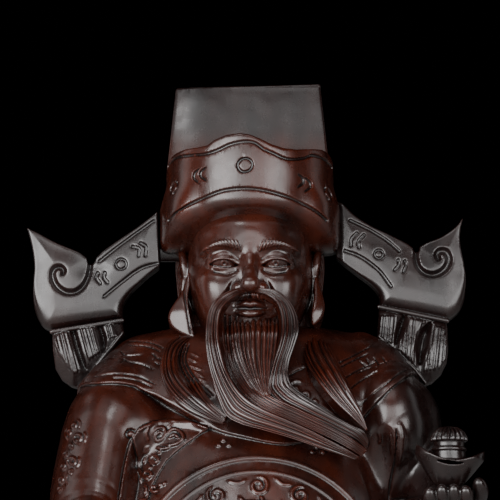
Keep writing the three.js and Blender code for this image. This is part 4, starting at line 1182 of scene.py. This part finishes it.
bead([(RX - 16.5, 47.5), (RX, 46.4), (RX + 16.5, 47.5)], 0.6, -0.05, "ahead", ends=1, share=0.01)
# sleeve beside the ingot, viewer's right
swell([(400, 426), (402, 436), (401.5, 448), (399, 462)], 1.0, 0.2)
bead([(390, 434), (391.5, 443), (391, 454)], 0.55)
bead([(378, 431), (380, 437), (379.5, 444)], 0.6)
groove([(396, 430), (396.5, 442), (394.5, 458), (391, 478), (389, 500)], 0.6, -0.1)
swell([(428, 474), (432, 486), (438, 500), (444, 520)], 1.3, 0.0)


# ------------------------------------------------------------------ hands
def hands(g):
    # right hand, closed in its cuff
    for i in range(4):
        z0 = 180 - i * 4.6
        g.chain(spline([(-81, -50, z0), (-82, -60, z0 + 0.5), (-76, -67.5, z0), (-68.5, -66, z0 - 0.5)], 14), [3.4] * 9 + [3.1, 2.9, 2.7, 2.6, 2.4], 0.5)
    g.ball((-74, -52, 173), (8.5, 12, 11), 2)
    g.chain([(-70, -54, 182), (-72, -64, 183.5), (-77, -69, 181.5)], [3.6, 3.3, 2.6], 0.8)


def left_hand(g):
    cx, cy, cz = INGOT
    g.ball((cx + 0.5, cy + 8, cz - 15), (13, 13, 6.5), 0)
    g.ball((cx + 0.5, cy + 16, cz - 20), (11, 13, 9), 4)
    for i in range(4):
        x = cx - 9.2 + i * 5.4
        up, lean = (-1.0, 0.2, 0.4, -0.3)[i], (1.6, 0.8, 0.0, -0.6)[i]
        g.chain(spline([(x + lean + 1.0, cy + 9, cz - 24), (x + lean, cy - 1.0, cz - 20.0), (x, cy - 6.6, cz - 16.0 + up), (x - 0.3, cy - 8.8, cz - 13.4 + up)], 14),
                [3.3] * 8 + [3.2, 3.1, 3.0, 2.8, 2.6, 2.3], 0.6)
    g.chain(spline([(cx + 9, cy + 9, cz - 18), (cx + 12.6, cy + 3, cz - 16.5), (cx + 13.8, cy - 3, cz - 13), (cx + 12.8, cy - 6.5, cz - 10)], 12),
            [4.4, 4.4, 4.3, 4.1, 3.9, 3.7, 3.5, 3.3, 3.1, 2.9, 2.7, 2.3], 1.2)


def ingot(g):
    cx, cy, cz = INGOT
    x, y, z = g.x - cx, g.y - cy, g.z - cz
    x, z = x - 0.1 * z, z + 0.1 * x
    t = np.clip((z + 12) / 14, 0, 1)
    grow = 0.34 + 0.66 * t ** 0.9
    a = np.arctan2(y / 11.5, x / 15.8)
    horn = np.abs(np.cos(a)) ** 2.2
    q = np.sqrt((x / 15.8) ** 2 + (y / 11.5) ** 2)
    rr = np.sqrt(x * x + y * y)
    d = rr * (1 - grow / np.maximum(q, 0.02))
    top = 0.4 + 6.4 * horn * np.clip(q, 0, 1.05) ** 1.5
    d = smax(smax(d, z - top, 1.0), -12 - z, 2.0)
    # hollow round the dome inside the rim
    hollow = smax(rr * (1 - 0.86 / np.maximum(q, 0.02)), (top - 2.2) - z, 0.8)
    d = smax(d, -hollow, 0.6)
    g.d[...] = smin(g.d, d, 0.3)
    # ribbed dome on a plain ring
    p = g.part((cx - 12, cy - 12, cz - 4), (cx + 12, cy + 12, cz + 20))
    if p is not None:
        ang = np.arctan2(p.y - cy, p.x - cx)
        rad = np.sqrt((p.x - cx) ** 2 + (p.y - cy) ** 2)
        rib = 0.55 * (1 - 1.8 * np.abs(np.sin(10 * ang + 0.12 * rad))) * ss(0.8, 4.0, rad)
        e = p.ball_d((cx, cy, cz + 9.4), (8.3, 8.3, 6.8)) - rib
        e = smax(e, cz + 9.2 - p.z, 0.8)
        p.d[...] = smin(p.d, e, 0.2)
        core = smax(rad - 7.0 - 0.12 * np.abs(p.z - cz - 7.5), np.abs(p.z - cz - 5.0) - 4.7, 1.2)
        p.d[...] = smin(p.d, core, 0.3)
        ring = smax(rad - 8.0, np.abs(p.z - cz - 5.6) - 0.8, 0.6)
        p.d[...] = smin(p.d, ring, 0.2)


def open_cuffs(g):
    g.ball((-75, -60, 160), (11.5, 8, 27), 1.0, cut=True)
    g.ball((88, -47, 155), (11, 8, 24), 1.0, cut=True)


def layer(g, frame_pts, high, k):
    """Raise the cloth in front inside an outline drawn on the frame."""
    pts = [body_skin.seen(x, y) for x, y in frame_pts]
    pts = np.array([[h[0][0], h[0][2]] for h in pts if h])
    lo, hi = pts.min(0) - 4, pts.max(0) + 4
    p = g.part((lo[0], -90, lo[1]), (hi[0], -8, hi[1]))
    if p is None:
        return
    m = poly_d(p.x1[:, None], p.z1[None, :], pts)[:, None, :].astype(F)
    p.d[...] = smin(p.d, smax(p.d - high, m, k), 0.2)


def dress(g):
    trunk(g)
    open_cuffs(g)
    layer(g, OUTER, 1.5, 0.6)
    s = g.blank()
    for p, r in SOFT:
        s.chain(p, r)
    g.add(s, 2.2)
    s.d[...] = 30
    for p, r in BODY_BEADS:
        s.chain(p, r)
    g.add(s, 0.5)
    s.d[...] = 30
    for p, r in BODY_CUTS:
        s.chain(p, r)
    g.cut(s, 0.25)


def base(g):
    x, y, z = g.x, g.y + 5, g.z
    q = np.sqrt((x / 90) ** 2 + (y / 68) ** 2)
    rr = np.sqrt(x * x + y * y)
    prof = np.interp(g.z1, [0, 5, 8.5, 12, 14.5, 18, 20], [1, 1, .955, .955, .985, .98, .965]).astype(F)[None, None, :]
    d = rr * (1 - prof / np.maximum(q, 0.02))
    d = smax(d, z - 20, 1.2)
    d = np.maximum(d, -z)
    g.d[...] = smin(g.d, d, 0.8)
    for s in (-1, 1):
        # cloth shoe with a thick sole and a turned-up tip
        c = s * 27
        e = np.sqrt(((g.x - c) / 12.5) ** 2 + ((g.y + 45) / 26.5) ** 2)
        rr = np.sqrt((g.x - c) ** 2 + (g.y + 45) ** 2)
        sole = smax(rr * (1 - 1 / np.maximum(e, 0.02)), np.abs(g.z - 21.5) - 3.4, 1.4)
        g.d[...] = smin(g.d, sole, 0.6)
        g.ball((c, -44, 26), (11.6, 25, 12), 0.5)
        g.chain([(c, -58, 28), (c, -66, 31), (c, -69.5, 36), (c, -67, 40)], [7.5, 5.5, 3.6, 2.4], 2.5)
        g.chain(spline([(c - 11.5, -42, 33), (c - 7.5, -56, 34), (c, -62, 37.5), (c + 7.5, -56, 34), (c + 11.5, -42, 33)], 20), 1.3, 0.4)


def belt(g):
    """Belt round the sides and back, and the hem border."""
    p = g.part((-90, -76, 118), (90, 66, 146))
    if p is not None:
        d, a = section(p, ROBE)
        show = ss(-0.75, -0.45, np.sin(a))
        lines = 0.7 * np.exp(-((np.abs(p.z - 132) - 3.4) / 0.7) ** 2)
        knots = 0.6 * np.exp(-((p.z - 132) / 1.5) ** 2) * (0.5 + 0.5 * np.cos(26 * a)) ** 2
        b = d - 2.2 - 1.6 * ss(0, 0.6, np.sin(a)) + lines - knots + 5 * (1 - show)
        b = smax(b, np.abs(p.z - 132) - 6, 1.4)
        p.d[...] = smin(p.d, b, 0.7)
    p = g.part((-90, -76, 20), (90, 66, 46))
    if p is not None:
        rim = smax(p.d - 1.0, np.abs(p.z - 30.5) - 4.2, 0.7)
        line = 0.8 * np.exp(-((p.z - 38.6) / 0.8) ** 2)
        p.d[...] = smin(p.d - line, rim, 0.4)


def low_body(g):
    dress(g)
    g.d[...] += 0.14 * ss(170, 177.5, g.z)
    belt(g)
    base(g)


figure = [
    carve("figure_body", (-98, -76, 178), (116, 66, 284), 0.5, dress, 198000),
    carve("cap", (-45, -44, 268), (45, 51, 402), 0.42, cap_all, 110000),
    wing(-1), wing(1),
    carve("face", (-38, -46, 264), (38, 44, 348), 0.4, face, 120000),
    piece("beard", beard.mesh("beard")),
    carve("left_hand", (68, -74, 178), (114, -30, 228), 0.42, lambda g: (left_hand(g), ingot(g)), 50000),
    carve("right_hand", (-90, -76, 158), (-62, -38, 190), 0.5, hands, 22000),
    carve("lower_body", (-98, -76, -1), (112, 66, 179.4), 0.9, low_body, 180000),
]

# ------------------------------------------------------------------ material
def wood(name, dark=False, polish=(0.25, 0.33)):
    """Oiled dark hardwood: streaked grain, nearly black on the crown, redder on the body; painted shade turns the
    grooves and the figure's left side (+X) nearly black.
    """
    m = bpy.data.materials.new(name)
    m.use_nodes = True
    nt = m.node_tree
    nt.nodes.clear()
    N, L = nt.nodes.new, nt.links.new
    out = N("ShaderNodeOutputMaterial")
    b = N("ShaderNodeBsdfPrincipled")
    L(b.outputs[0], out.inputs[0])
    tc = N("ShaderNodeTexCoord")

    def ramp(src, stops):
        cr = N("ShaderNodeValToRGB")
        e = cr.color_ramp.elements
        e[0].position, e[0].color = stops[0]
        e[1].position, e[1].color = stops[-1]
        for p, c in stops[1:-1]:
            e.new(p).color = c
        L(src, cr.inputs[0])
        return cr.outputs[0]

    def mix(a, c, fac, kind="MIX"):
        n = N("ShaderNodeMix")
        n.data_type, n.blend_type = "RGBA", kind
        if isinstance(fac, float):
            n.inputs[0].default_value = fac
        else:
            L(fac, n.inputs[0])
        for src, k in ((a, 6), (c, 7)):
            if isinstance(src, tuple):
                n.inputs[k].default_value = src
            else:
                L(src, n.inputs[k])
        return n.outputs[2]

    def span(src, lo, hi, a=0.0, c=1.0):
        n = N("ShaderNodeMapRange")
        n.interpolation_type = "SMOOTHSTEP"
        for k, v in zip((1, 2, 3, 4), (lo, hi, a, c)):
            n.inputs[k].default_value = v
        L(src, n.inputs[0])
        return n.outputs[0]

    # grain: long streaks with finer pores
    mp = N("ShaderNodeMapping")
    mp.inputs["Scale"].default_value = (60, 60, 5)
    L(tc.outputs["Object"], mp.inputs["Vector"])
    n1 = N("ShaderNodeTexNoise")
    n1.inputs["Scale"].default_value = 1.0
    n1.inputs["Detail"].default_value = 5
    n1.inputs["Roughness"].default_value = 0.6
    L(mp.outputs[0], n1.inputs["Vector"])
    red = ramp(n1.outputs["Fac"], [(0.3, (0.0075, 0.002, 0.0013, 1)), (0.52, (0.024, 0.0047, 0.0023, 1)), (0.78, (0.05, 0.0086, 0.0035, 1))])
    black = ramp(n1.outputs["Fac"], [(0.3, (0.0035, 0.0018, 0.0018, 1)), (0.75, (0.012, 0.0045, 0.0038, 1))])
    if dark:
        col = black
    else:
        sep = N("ShaderNodeSeparateXYZ")
        L(tc.outputs["Object"], sep.inputs[0])
        # the crown above z = 366 mm is black wood
        hi = span(sep.outputs["Z"], 0.366, 0.380)
        # painted shade: beyond x = 50 mm the figure's left side is turned to the black wood
        painted_shade_side = span(sep.outputs["X"], 0.050, 0.080)
        black_crown_and_painted_shade = N("ShaderNodeMath")
        black_crown_and_painted_shade.operation = "MAXIMUM"
        L(hi, black_crown_and_painted_shade.inputs[0])
        L(painted_shade_side, black_crown_and_painted_shade.inputs[1])
        col = mix(red, black, black_crown_and_painted_shade.outputs[0])
    # painted shade: hollows and grooves (low pointiness) are darkened to near black; rubbed edges are a little warmer
    geo = N("ShaderNodeNewGeometry")
    pit = span(geo.outputs["Pointiness"], 0.455, 0.50)
    edge = span(geo.outputs["Pointiness"], 0.515, 0.56)
    col = mix((0.0028, 0.0012, 0.001, 1), col, pit)
    col = mix(col, (1.5, 1.35, 1.3, 1), edge, "MULTIPLY")
    L(col, b.inputs["Base Color"])
    n2 = N("ShaderNodeTexNoise")
    n2.inputs["Scale"].default_value = 160.0
    n2.inputs["Detail"].default_value = 3
    L(tc.outputs["Object"], n2.inputs["Vector"])
    rough = span(n2.outputs["Fac"], 0.35, 0.7, *polish)
    L(rough, b.inputs["Roughness"])
    # fine pores and tool marks
    mp2 = N("ShaderNodeMapping")
    mp2.inputs["Scale"].default_value = (900, 900, 90)
    L(tc.outputs["Object"], mp2.inputs["Vector"])
    n3 = N("ShaderNodeTexNoise")
    n3.inputs["Scale"].default_value = 1.0
    n3.inputs["Detail"].default_value = 2
    L(mp2.outputs[0], n3.inputs["Vector"])
    bump = N("ShaderNodeBump")
    bump.inputs["Strength"].default_value = 0.06
    bump.inputs["Distance"].default_value = 0.0004
    L(n3.outputs["Fac"], bump.inputs["Height"])
    n4 = N("ShaderNodeTexNoise")
    n4.inputs["Scale"].default_value = 55.0
    n4.inputs["Detail"].default_value = 1
    L(tc.outputs["Object"], n4.inputs["Vector"])
    wave = N("ShaderNodeBump")
    wave.inputs["Strength"].default_value = 0.5
    wave.inputs["Distance"].default_value = 0.0016
    L(n4.outputs["Fac"], wave.inputs["Height"])
    L(bump.outputs[0], wave.inputs["Normal"])
    L(wave.outputs[0], b.inputs["Normal"])
    b.inputs["IOR"].default_value = 1.5
    b.inputs["Coat Weight"].default_value = 0.15
    b.inputs["Coat Roughness"].default_value = 0.2
    return m


MAT, MAT_DARK = wood("dark_wood"), wood("dark_wood_black", dark=True)
MAT_HAIR = wood("dark_wood_hair", polish=(0.16, 0.24))
for ob in pieces:
    ob.data.materials.clear()
    # the wings are black wood; the hand with the ingot gets the black wood as painted shade
    ob.data.materials.append(MAT_DARK if ob.name.startswith(("cap_wing", "left_hand")) else MAT_HAIR if ob.name == "beard" else MAT)

# ------------------------------------------------------------------ floor and light
bpy.ops.mesh.primitive_plane_add(size=6.0, location=(0, 0, 0))
floor = bpy.context.active_object
floor.name = "floor"
fm = bpy.data.materials.new("floor")
fm.use_nodes = True
fb = fm.node_tree.nodes["Principled BSDF"]
fb.inputs["Base Color"].default_value = (0.52, 0.51, 0.5, 1)
fb.inputs["Roughness"].default_value = 0.8
floor.data.materials.append(fm)


def light(name, az, el, dist, size, power, aim=(0, 0, 0.3), size_y=None, spread=180):
    d = bpy.data.lights.new(name, "AREA")
    d.shape = "RECTANGLE"
    d.size, d.size_y = size, size_y or size
    d.energy = power
    d.spread = math.radians(spread)
    ob = bpy.data.objects.new(name, d)
    a, e = math.radians(az), math.radians(el)
    aim = Vector(aim)
    ob.location = aim + dist * Vector((math.sin(a) * math.cos(e), -math.cos(a) * math.cos(e), math.sin(e)))
    ob.rotation_euler = (aim - ob.location).to_track_quat("-Z", "Y").to_euler()
    scene.collection.objects.link(ob)
    return ob


light("left", -40, 5, 1.5, 1.15, 33, size_y=0.84)
light("front", 0, 4, 1.5, 0.98, 10, size_y=0.84)
light("right", 37, 5, 1.5, 0.9, 15.5, size_y=0.84)
light("top", -3, 49, 1.5, 1.2, 3.7, size_y=0.62)
light("top_left", -24, 50, 1.5, 0.34, 2.4, size_y=0.26)
light("left_high", -62, 47, 1.5, 0.9, 1.2, size_y=0.5)
light("side_left", -104, 14, 1.2, 0.4, 1.4, size_y=1.0)
light("side_right", 104, 14, 1.2, 0.4, 0.7, size_y=1.0)

# ------------------------------------------------------------------ riding
for i, ob in enumerate(pieces):
    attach(ob, "root")
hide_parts("caishen_figure")
